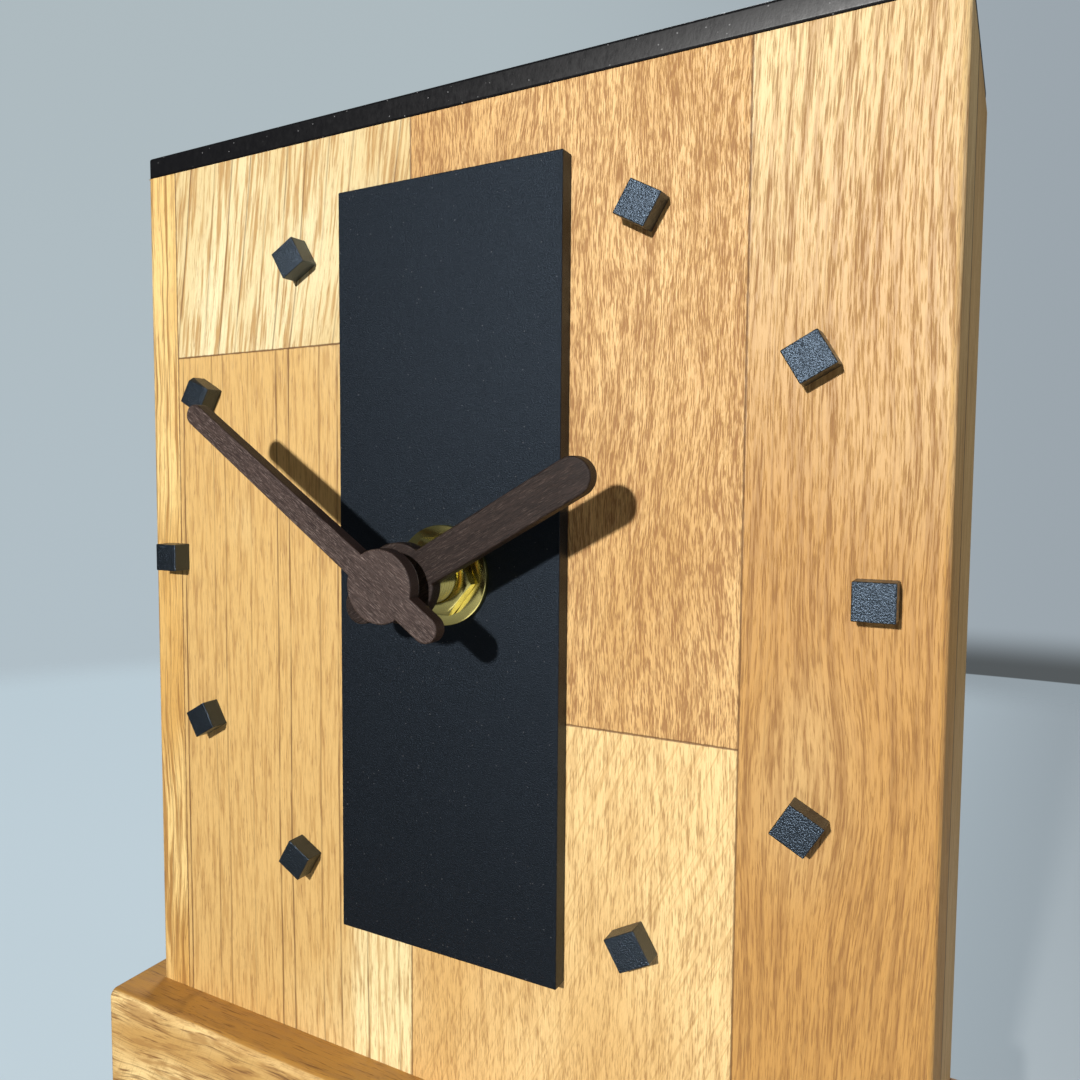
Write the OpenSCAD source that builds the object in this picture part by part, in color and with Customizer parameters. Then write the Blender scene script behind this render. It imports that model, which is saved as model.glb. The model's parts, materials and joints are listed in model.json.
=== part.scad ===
// Mantel clock: an upright laminated oak panel on an oak plinth, with a raised black face
// plate, ten cube hour markers, wooden hands and a battery quartz movement let in from behind.
// Frame: +Z up, the face looks along -Y, +X to the viewer's right. The origin lies on the
// resting plane, under the middle of the overall width and depth.

/* [Case] */
// Width of the upright panel
panel_w = 134.9; // [132:0.1:150]
// Height of the upright panel, without the top strip
panel_h = 157.6; // [150:0.1:180]
// Thickness of the front layer of staves
front_t = 19; // [17:0.5:22]
// Thickness of the rear layer of staves
rear_t = 31; // [28:0.5:40]
// Full width of one stave of the glued boards
stave_w = 51.8; // [48:0.1:54]
// Place of the leftmost glue joint of the front layer
first_joint_x = -60.3; // [-62:0.1:-56]
// Place of the leftmost glue joint of the rear layer
rear_joint_x = -33.6; // [-36:0.1:-32.4]
// Thickness of the black strip along the top
strip_t = 3.8; // [2:0.1:6]
// How far the strip stops short of each end of the panel
strip_inset = 0.3; // [0:0.1:1]
// Width of the plinth
base_w = 146.4; // [140:0.1:160]
// Height of the plinth
base_h = 26; // [20:0.5:32]
// How far the plinth stands out in front of the panel
base_overhang = 9.4; // [4:0.1:15]
// Radius of the plinth's long upper arrises
base_round = 1.8; // [0.5:0.1:3]
// Thickness of a felt foot
foot_t = 1.5; // [1:0.1:3]
// Radius of a felt foot
foot_r = 6; // [4:0.5:7]

/* [Face] */
// Height of the dial centre above the plinth
dial_h = 85.7; // [80:0.1:90]
// Sideways place of the dial centre on the panel
dial_x = -0.6; // [-2:0.1:2]
// Width of the raised plate
plate_w = 39; // [34:0.1:44]
// Height of the raised plate
plate_h = 122.7; // [110:0.1:126]
// Thickness of the raised plate
plate_t = 3.1; // [2:0.1:4]
// Sideways place of the plate from the dial centre
plate_dx = -0.3; // [-1:0.1:1]
// Side of a cube hour marker
marker_s = 5; // [4:0.1:6]
// How far a marker stands out of the panel
marker_t = 3.8; // [3:0.1:5]
// Radius of the ring that the markers stand on
marker_ring = 60.2; // [56:0.1:62]

/* [Hands] */
// Distance from the panel to the front of the minute hand
minute_out = 21.8; // [21:0.1:24]
// Distance from the panel to the front of the hour hand
hour_out = 16.7; // [16:0.1:17.5]
// Thickness of a wooden hand
hand_t = 2.4; // [2:0.1:2.6]
// Length of the minute hand from the dial centre
minute_len = 44.5; // [40:0.1:55]
// Length of the minute hand's tail
minute_tail = 11.2; // [8:0.1:18]
// Width of the minute hand at the hub
minute_w = 4; // [3.4:0.1:5]
// Width of the minute hand at the tip
minute_tip_w = 3.3; // [2.6:0.1:4]
// Radius of the minute hand's hub
minute_hub_r = 5.35; // [5:0.05:6.5]
// Length of the hour hand from the dial centre
hour_len = 33.2; // [28:0.1:38]
// Length of the hour hand's tail
hour_tail = 10.2; // [8:0.1:12]
// Width of the hour hand
hour_w = 5.45; // [4.5:0.05:6.5]
// Radius of the hour hand's hub
hour_hub_r = 5.9; // [5.4:0.1:7]
// Direction of the minute hand, clockwise from twelve
minute_angle = 305.9; // [0:0.1:360]
// Direction of the hour hand, clockwise from twelve
hour_angle = 59.8; // [0:0.1:360]
// Radius of the metal disc behind a hand's hub
disc_r = 5.1; // [4.5:0.1:5.2]
// Thickness of the metal disc behind a hand's hub
disc_t = 0.5; // [0.3:0.1:0.6]

/* [Hardware] */
// Radius of the dial washer
washer_r = 7.85; // [7:0.05:9]
// Thickness of the dial washer
washer_t = 1; // [0.6:0.1:1.2]
// Width of the hex nut across its flats
nut_af = 11; // [10:0.1:12]
// Thickness of the hex nut
nut_t = 2.4; // [2:0.1:3]
// Turn of the nut's first corner, anticlockwise from the right
nut_turn = -8; // [-30:1:30]
// Radius of the threaded stem
stem_r = 4; // [3.9:0.05:4.1]
// How far the stem stands out of the panel
stem_out = 12.5; // [10:0.1:13]
// Radius of the drilled holes that the stem passes
stem_hole_r = 4.2; // [4.15:0.05:5]
// Thickness of the rubber gasket behind the panel
gasket_t = 1; // [0.8:0.1:1.2]
// Radius of the rubber gasket
gasket_r = 12; // [9:0.5:15]
// Distance of a base screw from the middle of the plinth
screw_x = 42; // [36:1:55]
// Radius of a base screw's shank
screw_r = 2; // [1.5:0.25:2.5]
// Length of a base screw
screw_len = 46; // [40:1:50]

/* [Movement] */
// Side of the square movement case
case_s = 56; // [56:0.5:57]
// Depth of the movement case
case_d = 16.5; // [16.5:0.1:17]
// Wall of the movement case
case_wall = 1.2; // [1:0.1:1.2]
// Side of the square pocket in the rear layer
pocket_s = 62; // [59:0.5:64]
// Radius of the battery cell
cell_r = 7.1; // [6.9:0.05:7.15]
// Length of the battery cell with its button
cell_len = 50.5; // [49.5:0.1:50.5]
// Radius of the setting knob
knob_r = 6; // [4.5:0.5:7]
// Thickness of the setting knob
knob_t = 2.5; // [2:0.1:4]
// Radius of the magnet on the rotor
magnet_r = 2.2; // [1.8:0.1:2.3]

/* [Hidden] */
HOURS = [1, 2, 3, 4, 5, 7, 8, 9, 10, 11];
$fn = 64;

// Case layout
panel_t = front_t + rear_t;
half_w = panel_w / 2;
face_y = (minute_out - panel_t) / 2;
base_z = foot_t;
panel_z = base_z + base_h;
dial_z = panel_z + dial_h;
joint_2_x = first_joint_x + stave_w;
joint_3_x = joint_2_x + stave_w;
rear_joint_2_x = rear_joint_x + stave_w;
upper_butt_z = dial_z + 37.6;
lower_butt_z = dial_z - 21.65;
fit_gap = 0.05;
cut_past = 1;
screw_head_r = 4;
screw_head_t = 2.4;
foot_inset_x = 10;
foot_inset_y = 8;
screw_y = face_y + front_t + rear_t / 2;
oak = "burlywood";

// Depths are measured from the front of the panel, positive into the clock
case_y = front_t + gasket_t;
floor_y = case_y + case_wall;
case_back_y = case_y + case_d;
cover_y = case_back_y - case_wall;
cavity = case_s / 2 - case_wall;
shelf_z = -10.3;
bay_top_z = shelf_z - case_wall;
bridge_y = floor_y + 7.6;
bridge_t = 0.8;
run_gap = 0.08;
pivot_r = 0.4;
pivot_hole_r = 0.45;
pivot_depth = 0.7;
pivot_reach = 0.6;
end_shake = 0.1;
case_round = 4;
cavity_round = 2;
bay_round = 1;
bridge_gap = 0.3;
bridge_hole_r = 1.2;
cover_gap = 0.2;
post_x = 23;
post_low_z = -7;
post_high_z = 23;
post_r = 1.6;
pin_r = 1.2;
board_pin_at = [-12, 12];
knob_arbor_r = 1;
knob_pivot_r = 0.5;
knob_hole_r = 0.55;
knob_wheel_t = 1.3;
knob_gap = 0.4;
knob_grooves = 18;
groove_r = 0.6;

// Arbors and pipes of the hands
minute_pipe_r = 1.67;
hour_pipe_bore = minute_pipe_r + run_gap;
hour_pipe_r = 2.55;
stem_bore = hour_pipe_r + run_gap;
seconds_arbor_r = 0.68;
minute_pipe_bore = seconds_arbor_r + run_gap;
disc_gap = 0.05;
hour_collar_r = 3.4;
minute_collar_r = 2.6;
washer_gap = 0.1;
flange_t = 1;
flange_w = 2.5;
hour_rear = hour_out - hand_t;
minute_rear = minute_out - hand_t;
pipe_short = 0.5;
blind_depth = 1.3;

// Tooth counts, modules and centre distances of the wheels
hour_teeth = 40;
motion_teeth = 36;
motion_pinion_teeth = 10;
cannon_teeth = 12;
cannon_mod = 0.34;
motion_cd = cannon_mod * (cannon_teeth + motion_teeth) / 2;
hour_mod = 2 * motion_cd / (hour_teeth + motion_pinion_teeth);
pinion_teeth = 8;
centre_teeth = 64;
centre_mod = 0.21;
third_cd = centre_mod * (centre_teeth + pinion_teeth) / 2;
third_teeth = 60;
third_mod = 2 * third_cd / (third_teeth + pinion_teeth);
seconds_teeth = 48;
fifth_cd = 7.5;
seconds_mod = 2 * fifth_cd / (seconds_teeth + pinion_teeth);
fifth_teeth = 40;
rotor_cd = seconds_mod * (fifth_teeth + pinion_teeth) / 2;
motion_dir = 180;
third_dir = 0;
fifth_dir = 60;
rotor_dir = 100;
motion_at = [-motion_cd, 0];
knob_at = [-2 * motion_cd, 0];
third_at = [third_cd, 0];
fifth_at = fifth_cd * [cos(fifth_dir), sin(fifth_dir)];
rotor_at = fifth_at + rotor_cd * [cos(rotor_dir), sin(rotor_dir)];

// Depths of the wheels behind the panel's front
hour_wheel_y = floor_y + 1.4;
hour_wheel_t = 1.2;
motion_wheel_y = hour_wheel_y + hour_wheel_t + 0.4;
motion_wheel_t = 1;
cannon_t = 1.2;
collar_t = 0.4;
centre_wheel_y = motion_wheel_y + cannon_t + collar_t;
centre_wheel_t = 0.8;
spring_t = 0.25;
spring_r = 2.5;
touch_gap = 0.02;
pipe_collar_r = 2.6;
pipe_end_y = centre_wheel_y + centre_wheel_t + 0.3;
pinion_over = 0.2;
rotor_pinion_dy = 0.8;
third_wheel_y = centre_wheel_y + centre_wheel_t + 0.8;
thin_wheel_t = 0.6;
seconds_wheel_y = bridge_y + bridge_t + 0.5;
fifth_wheel_y = seconds_wheel_y + thin_wheel_t + 0.5;
fifth_wheel_t = 0.5;
magnet_y = fifth_wheel_y + 0.9;
magnet_t = 1.6;
stator_y = magnet_y + 0.4;
stator_t = 0.8;

// Motor and circuit places, from the dial centre
arm_left_x = -9;
arm_right_x = 14;
arm_w = 2.5;
yoke_low_z = 9.5;
yoke_high_z = 16;
core_z = 22.4;
core_h = 1.8;
arm_joint_z = 20.8;
arm_top_z = 24.2;
air_gap = 0.4;
coil_low_x = -5.5;
coil_high_x = 10.5;
coil_flange_r = 2.3;
coil_flange_t = 0.6;
coil_tube_r = 1.35;
coil_r = 2.15;
board_y = bridge_y + 2.2;
board_t = 0.8;
board_x = -26;
board_low_z = 9;
board_w = 16.5;
board_h = 17;
crystal_x = -22;
crystal_z = 12;
crystal_r = 1;
crystal_len = 6;
chip_at = [-15, 19];
chip_s = 5;
chip_t = 1.2;
cell_z = (bay_top_z - cavity) / 2;
cell_y = floor_y + cell_r + 0.1;
cell_button = 1.3;
cell_button_r = 2.75;
cell_low_x = -24.6;
contact_t = 0.4;
contact_w = 10;
contact_h = 11;
leaf_w = 5;
leaf_outer = 4.6;
leaf_inner = 3.9;
leaf_tip = 0.1;

// A drawing seen from the front, standing at a depth from the panel's face and running
// towards the viewer by the length of its own extrusion.
module at_dial(depth) translate([dial_x, face_y + depth, dial_z]) rotate([90, 0, 0]) children();

// A plate between two depths, drawn from the front.
module slab(near, far) at_dial(far) linear_extrude(far - near) children();

// A rod between two depths at a place on the dial.
module rod(near, far, r, at = [0, 0]) slab(near, far) translate(at) circle(r);

module box(low, high) translate(low) cube(high - low);

module rounded_square(low, high, r) {
    translate([low.x + r, low.y]) square([high.x - low.x - 2 * r, high.y - low.y]);
    translate([low.x, low.y + r]) square([high.x - low.x, high.y - low.y - 2 * r]);
    for (x = [low.x + r, high.x - r], y = [low.y + r, high.y - r]) translate([x, y]) circle(r);
}

// Points of one tooth: root, flank at the pitch circle and tip on each side.
function tooth_points(centre, pitch, root_r, pitch_r, tip_r) = [
    for (p = [[root_r, -0.3], [pitch_r, -0.2], [tip_r, -0.09], [tip_r, 0.09], [pitch_r, 0.2],
              [root_r, 0.3]])
        p[0] * [cos(centre + p[1] * pitch), sin(centre + p[1] * pitch)]
];

function gear_points(teeth, mod, phase) = [
    for (i = [0 : teeth - 1])
        each tooth_points(phase + i * 360 / teeth, 360 / teeth, mod * (teeth / 2 - 1.1),
                          mod * teeth / 2, mod * (teeth / 2 + 0.8))
];

// First tooth angle of a wheel that meshes with another one lying in direction dir from it.
function mesh_phase(phase, teeth, dir, next_teeth) =
    dir + 180 + (dir - phase) * teeth / next_teeth + 180 / next_teeth;

module gear(near, thick, teeth, mod, phase, at = [0, 0])
    slab(near, near + thick) translate(at) polygon(gear_points(teeth, mod, phase));

// Phases chained through each train, so that every pair is in mesh at rest.
cannon_phase = motion_dir;
motion_phase = mesh_phase(cannon_phase, cannon_teeth, motion_dir, motion_teeth);
knob_phase = mesh_phase(motion_phase, motion_teeth, motion_dir, cannon_teeth);
motion_pinion_phase = 0;
hour_phase = mesh_phase(motion_pinion_phase, motion_pinion_teeth, motion_dir + 180, hour_teeth);
seconds_pinion_phase = third_dir;
third_phase = mesh_phase(seconds_pinion_phase, pinion_teeth, third_dir, third_teeth);
third_pinion_phase = 0;
centre_phase = mesh_phase(third_pinion_phase, pinion_teeth, third_dir + 180, centre_teeth);
seconds_phase = fifth_dir;
fifth_pinion_phase = mesh_phase(seconds_phase, seconds_teeth, fifth_dir, pinion_teeth);
fifth_phase = rotor_dir;
rotor_phase = mesh_phase(fifth_phase, fifth_teeth, rotor_dir, pinion_teeth);

// ---- Case ----

module front_stave(x0, x1, z0, z1)
    color(oak) box([x0, face_y, z0], [x1, face_y + front_t, z1]);

module stem_hole(depth) rod(-cut_past, depth, stem_hole_r);

module screw_holes()
    for (side = [-1, 1])
        translate([side * screw_x, screw_y, base_z])
            cylinder(h = screw_len + fit_gap, r = screw_r + fit_gap);

module base() {
    front = face_y - base_overhang;
    back = face_y + panel_t;
    top = panel_z;
    color(oak) difference() {
        translate([-base_w / 2, 0, 0]) rotate([90, 0, 90]) linear_extrude(base_w) union() {
            translate([front, base_z]) square([back - front, base_h - base_round]);
            translate([front + base_round, base_z]) square([back - front - 2 * base_round, base_h]);
            for (y = [front + base_round, back - base_round])
                translate([y, top - base_round]) circle(base_round);
        }
        screw_holes();
        for (side = [-1, 1])
            translate([side * screw_x, screw_y, base_z])
                cylinder(h = screw_head_t, r1 = screw_head_r + fit_gap, r2 = screw_r + fit_gap);
    }
}

module stave_left() front_stave(-half_w, first_joint_x, panel_z, panel_z + panel_h);
module stave_mid_left_upper()
    front_stave(first_joint_x, joint_2_x, upper_butt_z, panel_z + panel_h);
module stave_mid_left_lower() front_stave(first_joint_x, joint_2_x, panel_z, upper_butt_z);
module stave_mid_right_upper() difference() {
    front_stave(joint_2_x, joint_3_x, lower_butt_z, panel_z + panel_h);
    stem_hole(front_t + cut_past);
}
module stave_mid_right_lower() front_stave(joint_2_x, joint_3_x, panel_z, lower_butt_z);
module stave_right() front_stave(joint_3_x, half_w, panel_z, panel_z + panel_h);

module rear_stave(x0, x1) color(oak) difference() {
    box([x0, face_y + front_t, panel_z], [x1, face_y + panel_t, panel_z + panel_h]);
    slab(front_t - cut_past, panel_t + cut_past) square(pocket_s, center = true);
    screw_holes();
}
module rear_stave_left() rear_stave(-half_w, rear_joint_x);
module rear_stave_middle() rear_stave(rear_joint_x, rear_joint_2_x);
module rear_stave_right() rear_stave(rear_joint_2_x, half_w);

module top_strip() color("black")
    box([strip_inset - half_w, face_y, panel_z + panel_h],
        [half_w - strip_inset, face_y + panel_t, panel_z + panel_h + strip_t]);

module base_screws() color("silver")
    for (side = [-1, 1])
        translate([side * screw_x, screw_y, base_z]) {
            cylinder(h = screw_len, r = screw_r);
            cylinder(h = screw_head_t, r1 = screw_head_r, r2 = screw_r);
        }

module foot(side_x, y) color("dimgray")
    translate([side_x * (base_w / 2 - foot_inset_x), y, 0]) cylinder(h = foot_t, r = foot_r);
foot_front_y = face_y - base_overhang + foot_inset_y;
foot_rear_y = face_y + panel_t - foot_inset_y;
module foot_front_left() foot(-1, foot_front_y);
module foot_front_right() foot(1, foot_front_y);
module foot_rear_left() foot(-1, foot_rear_y);
module foot_rear_right() foot(1, foot_rear_y);

// ---- Face ----

module face_plate() color("black") slab(-plate_t, 0) difference() {
    translate([plate_dx, 0]) square([plate_w, plate_h], center = true);
    circle(stem_hole_r);
}

module hour_marker(hour) color("black")
    slab(-marker_t, 0) rotate(-30 * hour) translate([0, marker_ring])
        square(marker_s, center = true);

module dial_washer() color("gold") slab(-plate_t - washer_t, -plate_t) difference() {
    circle(washer_r);
    circle(stem_r + washer_gap);
}

module hex_nut() color("gold")
    at_dial(-plate_t - washer_t) rotate(nut_turn) difference() {
        cylinder(h = nut_t, r = nut_af / sqrt(3), $fn = 6);
        translate([0, 0, -cut_past]) cylinder(h = nut_t + 2 * cut_past, r = stem_r + fit_gap);
    }

module threaded_stem() color("gold") difference() {
    union() {
        rod(-stem_out, floor_y, stem_r);
        rod(floor_y, floor_y + flange_t, stem_r + flange_w);
    }
    rod(-stem_out - cut_past, floor_y + flange_t + cut_past, stem_bore);
}

module gasket() color("black") slab(front_t, case_y) difference() {
    circle(gasket_r);
    circle(stem_hole_r);
}

// ---- Hands ----

// A bar with round ends along +Y, from its tail to its tip, tapering from root to tip.
module hand_outline(length, tail, root_w, tip_w, hub_r) {
    tip = length - tip_w / 2;
    end = tail - root_w / 2;
    circle(hub_r);
    translate([-root_w / 2, -end]) square([root_w, end]);
    polygon([[-root_w / 2, 0], [root_w / 2, 0], [tip_w / 2, tip], [-tip_w / 2, tip]]);
    translate([0, tip]) circle(tip_w / 2);
    translate([0, -end]) circle(root_w / 2);
}

module hour_hand() color("saddlebrown") difference() {
    slab(-hour_out, -hour_rear) rotate(-hour_angle)
        hand_outline(hour_len, hour_tail, hour_w, hour_w, hour_hub_r);
    rod(-hour_out - cut_past, -hour_rear + cut_past, hour_collar_r + disc_gap);
}

module minute_hand() color("saddlebrown") difference() {
    slab(-minute_out, -minute_rear) rotate(-minute_angle)
        hand_outline(minute_len, minute_tail, minute_w, minute_tip_w, minute_hub_r);
    rod(-minute_rear - blind_depth, 0, minute_collar_r + disc_gap);
}

// A metal disc behind a hand with a collar that reaches into its hub.
module hand_bush(rear, collar_len, collar_r, bore) color("silver") difference() {
    union() {
        rod(-rear, -rear + disc_t, disc_r);
        rod(-rear - collar_len, -rear, collar_r);
    }
    rod(-rear - collar_len - cut_past, -rear + disc_t + cut_past, bore);
}
module hour_hand_bush() hand_bush(hour_rear, hand_t - pipe_short, hour_collar_r,
                                  hour_pipe_r + disc_gap);
module minute_hand_bush() hand_bush(minute_rear, blind_depth - disc_gap, minute_collar_r,
                                    minute_pipe_r + disc_gap);

// ---- Movement: shells ----

module pivot_holes(near, far, places, r = pivot_hole_r)
    for (at = places) rod(near, far, r, at);

module movement_case() color("black") {
    difference() {
        slab(case_y, case_back_y)
            rounded_square([-case_s / 2, -case_s / 2], [case_s / 2, case_s / 2], case_round);
        slab(floor_y, case_back_y + cut_past)
            rounded_square([-cavity, shelf_z], [cavity, cavity], cavity_round);
        slab(floor_y, case_back_y + cut_past)
            rounded_square([-cavity, -cavity], [cavity, bay_top_z], bay_round);
        rod(case_y - cut_past, floor_y + cut_past, stem_r + fit_gap);
        pivot_holes(floor_y - pivot_depth, floor_y + cut_past, [motion_at, third_at]);
        pivot_holes(floor_y - pivot_depth, floor_y + cut_past, [knob_at], knob_hole_r);
    }
    for (x = [-post_x, post_x], z = [post_low_z, post_high_z])
        rod(floor_y, bridge_y, post_r, [x, z]);
}

module gear_bridge() color("ivory") {
    near = bridge_y - cut_past;
    far = bridge_y + bridge_t + cut_past;
    difference() {
        slab(bridge_y, bridge_y + bridge_t)
            rounded_square([bridge_gap - cavity, shelf_z + bridge_gap],
                           [cavity - bridge_gap, cavity - bridge_gap], cavity_round);
        pivot_holes(near, far, [[0, 0]], bridge_hole_r);
        pivot_holes(near, far, [motion_at, third_at, fifth_at, rotor_at]);
        pivot_holes(near, far, [knob_at], knob_arbor_r + run_gap);
    }
    for (at = [[-post_x, post_high_z], board_pin_at])
        rod(bridge_y + bridge_t, board_y, pin_r, at);
}

module movement_cover() color("black") {
    difference() {
        slab(cover_y, case_back_y)
            rounded_square([cover_gap - cavity, shelf_z + cover_gap],
                           [cavity - cover_gap, cavity - cover_gap], cavity_round);
        rod(cover_y - cut_past, case_back_y + cut_past, knob_arbor_r + run_gap, knob_at);
        pivot_holes(cover_y - cut_past, cover_y + pivot_depth, [[0, 0], fifth_at, rotor_at]);
    }
    for (at = [[post_x, post_high_z], [post_x, post_low_z], [-post_x, post_low_z]])
        rod(bridge_y + bridge_t, cover_y, pin_r, at);
}

// ---- Movement: power and motor ----

module along_x(x0, x1, y, z)
    translate([dial_x + x0, face_y + y, dial_z + z]) rotate([90, 0, 90]) linear_extrude(x1 - x0)
        children();

module battery_cell() color("darkgoldenrod") {
    body_x = cell_low_x + cell_len - cell_button;
    along_x(cell_low_x, body_x, cell_y, cell_z) circle(cell_r);
    along_x(body_x, cell_low_x + cell_len, cell_y, cell_z) circle(cell_button_r);
}

module positive_contact() color("silver")
    along_x(cell_low_x + cell_len + disc_gap, cavity, cell_y, cell_z)
        square([contact_w, contact_h], center = true);

module negative_contact() color("silver") {
    along_x(-cavity, contact_t - cavity, cell_y, cell_z) square([contact_w, contact_h], center = true);
    root_x = contact_t - cavity;
    tip_x = cell_low_x - disc_gap;
    slab(cell_y - leaf_w / 2, cell_y + leaf_w / 2) translate([0, cell_z]) polygon([
        [root_x, -leaf_outer], [root_x, -leaf_inner], [tip_x - contact_t, 0],
        [root_x, leaf_inner], [root_x, leaf_outer], [tip_x, leaf_tip], [tip_x, -leaf_tip]
    ]);
}

module circuit_board() color("green") slab(board_y, board_y + board_t)
    translate([board_x, board_low_z]) square([board_w, board_h]);

module quartz_crystal() color("silver")
    translate([dial_x + crystal_x, face_y + board_y + board_t + crystal_r, dial_z + crystal_z])
        cylinder(h = crystal_len, r = crystal_r);

module timing_chip() color("black") slab(board_y + board_t, board_y + board_t + chip_t)
    translate(chip_at) square(chip_s, center = true);

module coil_core() color("silver") slab(stator_y, stator_y + stator_t) {
    translate([arm_left_x, core_z - core_h / 2])
        square([arm_right_x - arm_left_x, core_h]);
    for (x = [arm_left_x, arm_right_x - arm_w])
        translate([x, arm_joint_z]) square([arm_w, arm_top_z - arm_joint_z]);
}

module stator_plate() color("silver") slab(stator_y, stator_y + stator_t) difference() {
    union() {
        translate([arm_left_x, yoke_low_z])
            square([arm_right_x - arm_left_x, yoke_high_z - yoke_low_z]);
        for (x = [arm_left_x, arm_right_x - arm_w])
            translate([x, yoke_low_z]) square([arm_w, arm_joint_z - yoke_low_z]);
    }
    translate(rotor_at) circle(magnet_r + air_gap);
}

module coil_bobbin() color("ivory") difference() {
    union() {
        along_x(coil_low_x, coil_high_x, stator_y + stator_t / 2, core_z) circle(coil_tube_r);
        for (x = [coil_low_x, coil_high_x - coil_flange_t])
            along_x(x, x + coil_flange_t, stator_y + stator_t / 2, core_z) circle(coil_flange_r);
    }
    along_x(coil_low_x - cut_past, coil_high_x + cut_past, stator_y + stator_t / 2, core_z)
        square([stator_t + 2 * fit_gap, core_h + 2 * fit_gap], center = true);
}

module coil_winding() color("orange") difference() {
    along_x(coil_low_x + coil_flange_t, coil_high_x - coil_flange_t,
            stator_y + stator_t / 2, core_z) circle(coil_r);
    along_x(coil_low_x, coil_high_x, stator_y + stator_t / 2, core_z) circle(coil_tube_r);
}

// ---- Movement: wheels ----

module rotor() color("ivory") {
    pinion_y = seconds_wheel_y + rotor_pinion_dy;
    gear(pinion_y, magnet_y - pinion_y, pinion_teeth, seconds_mod, rotor_phase, rotor_at);
    rod(magnet_y, magnet_y + magnet_t, magnet_r, rotor_at);
    rod(bridge_y + end_shake, cover_y + pivot_reach, pivot_r, rotor_at);
}

module fifth_wheel() color("ivory") {
    pinion_y = seconds_wheel_y - pinion_over;
    gear(pinion_y, fifth_wheel_y - pinion_y, pinion_teeth, seconds_mod, fifth_pinion_phase,
         fifth_at);
    gear(fifth_wheel_y, fifth_wheel_t, fifth_teeth, seconds_mod, fifth_phase, fifth_at);
    rod(bridge_y + end_shake, cover_y + pivot_reach, pivot_r, fifth_at);
}

module seconds_wheel() color("ivory") {
    gear(third_wheel_y - pinion_over, thin_wheel_t + 2 * pinion_over, pinion_teeth, third_mod,
         seconds_pinion_phase);
    gear(seconds_wheel_y, thin_wheel_t, seconds_teeth, seconds_mod, seconds_phase);
    rod(-minute_rear, seconds_wheel_y, seconds_arbor_r);
    rod(seconds_wheel_y, cover_y + pivot_reach, pivot_r);
}

module third_wheel() color("ivory") {
    pinion_y = centre_wheel_y - end_shake;
    gear(pinion_y, third_wheel_y - pinion_y, pinion_teeth, centre_mod, third_pinion_phase,
         third_at);
    gear(third_wheel_y, thin_wheel_t, third_teeth, third_mod, third_phase, third_at);
    rod(floor_y - pivot_reach, bridge_y + pivot_reach, pivot_r, third_at);
}

module centre_wheel() color("ivory") difference() {
    gear(centre_wheel_y, centre_wheel_t, centre_teeth, centre_mod, centre_phase);
    rod(centre_wheel_y - cut_past, centre_wheel_y + centre_wheel_t + cut_past,
        minute_pipe_r + fit_gap);
}

module clutch_spring() color("gold")
    slab(centre_wheel_y + centre_wheel_t + touch_gap, centre_wheel_y + centre_wheel_t + spring_t)
        difference() {
            circle(spring_r);
            circle(minute_pipe_r + touch_gap);
        }

module minute_pipe() color("gold") difference() {
    union() {
        rod(pipe_short / 2 - minute_rear - blind_depth, pipe_end_y, minute_pipe_r);
        gear(motion_wheel_y, cannon_t, cannon_teeth, cannon_mod, cannon_phase);
        rod(motion_wheel_y + cannon_t, centre_wheel_y - touch_gap, pipe_collar_r);
    }
    rod(-minute_out, case_back_y, minute_pipe_bore);
}

module motion_wheel() color("ivory") {
    pinion_y = hour_wheel_y - end_shake;
    gear(pinion_y, motion_wheel_y - pinion_y, motion_pinion_teeth, hour_mod,
         motion_pinion_phase, motion_at);
    gear(motion_wheel_y, motion_wheel_t, motion_teeth, cannon_mod, motion_phase, motion_at);
    rod(floor_y - pivot_reach, bridge_y + pivot_reach, pivot_r, motion_at);
}

module hour_wheel() color("ivory") difference() {
    union() {
        gear(hour_wheel_y, hour_wheel_t, hour_teeth, hour_mod, hour_phase);
        rod(pipe_short - hour_out, hour_wheel_y, hour_pipe_r);
    }
    rod(-hour_out, motion_wheel_y, hour_pipe_bore);
}

module setting_knob() color("white") {
    knob_y = case_back_y + knob_gap;
    gear(motion_wheel_y - end_shake, knob_wheel_t, cannon_teeth, cannon_mod, knob_phase, knob_at);
    rod(floor_y - pivot_reach, motion_wheel_y, knob_pivot_r, knob_at);
    rod(motion_wheel_y, knob_y, knob_arbor_r, knob_at);
    slab(knob_y, knob_y + knob_t) translate(knob_at) difference() {
        circle(knob_r);
        for (i = [0 : knob_grooves - 1])
            rotate(i * 360 / knob_grooves) translate([knob_r + groove_r / 2, 0]) circle(groove_r);
    }
}

base();
stave_left();
stave_mid_left_upper();
stave_mid_left_lower();
stave_mid_right_upper();
stave_mid_right_lower();
stave_right();
rear_stave_left();
rear_stave_middle();
rear_stave_right();
top_strip();
base_screws();
foot_front_left();
foot_front_right();
foot_rear_left();
foot_rear_right();
face_plate();
for (hour = HOURS) hour_marker(hour);
dial_washer();
hex_nut();
threaded_stem();
gasket();
hour_hand();
hour_hand_bush();
minute_hand();
minute_hand_bush();
movement_case();
movement_cover();
gear_bridge();
battery_cell();
positive_contact();
negative_contact();
circuit_board();
quartz_crystal();
timing_chip();
coil_core();
coil_bobbin();
coil_winding();
stator_plate();
rotor();
fifth_wheel();
seconds_wheel();
third_wheel();
centre_wheel();
clutch_spring();
minute_pipe();
motion_wheel();
hour_wheel();
setting_knob();
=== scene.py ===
import json
import logging
import math
from collections.abc import Callable, Sequence
from dataclasses import dataclass, field
from enum import Enum

import bmesh
import bpy
from mathutils import Matrix, Vector


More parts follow.
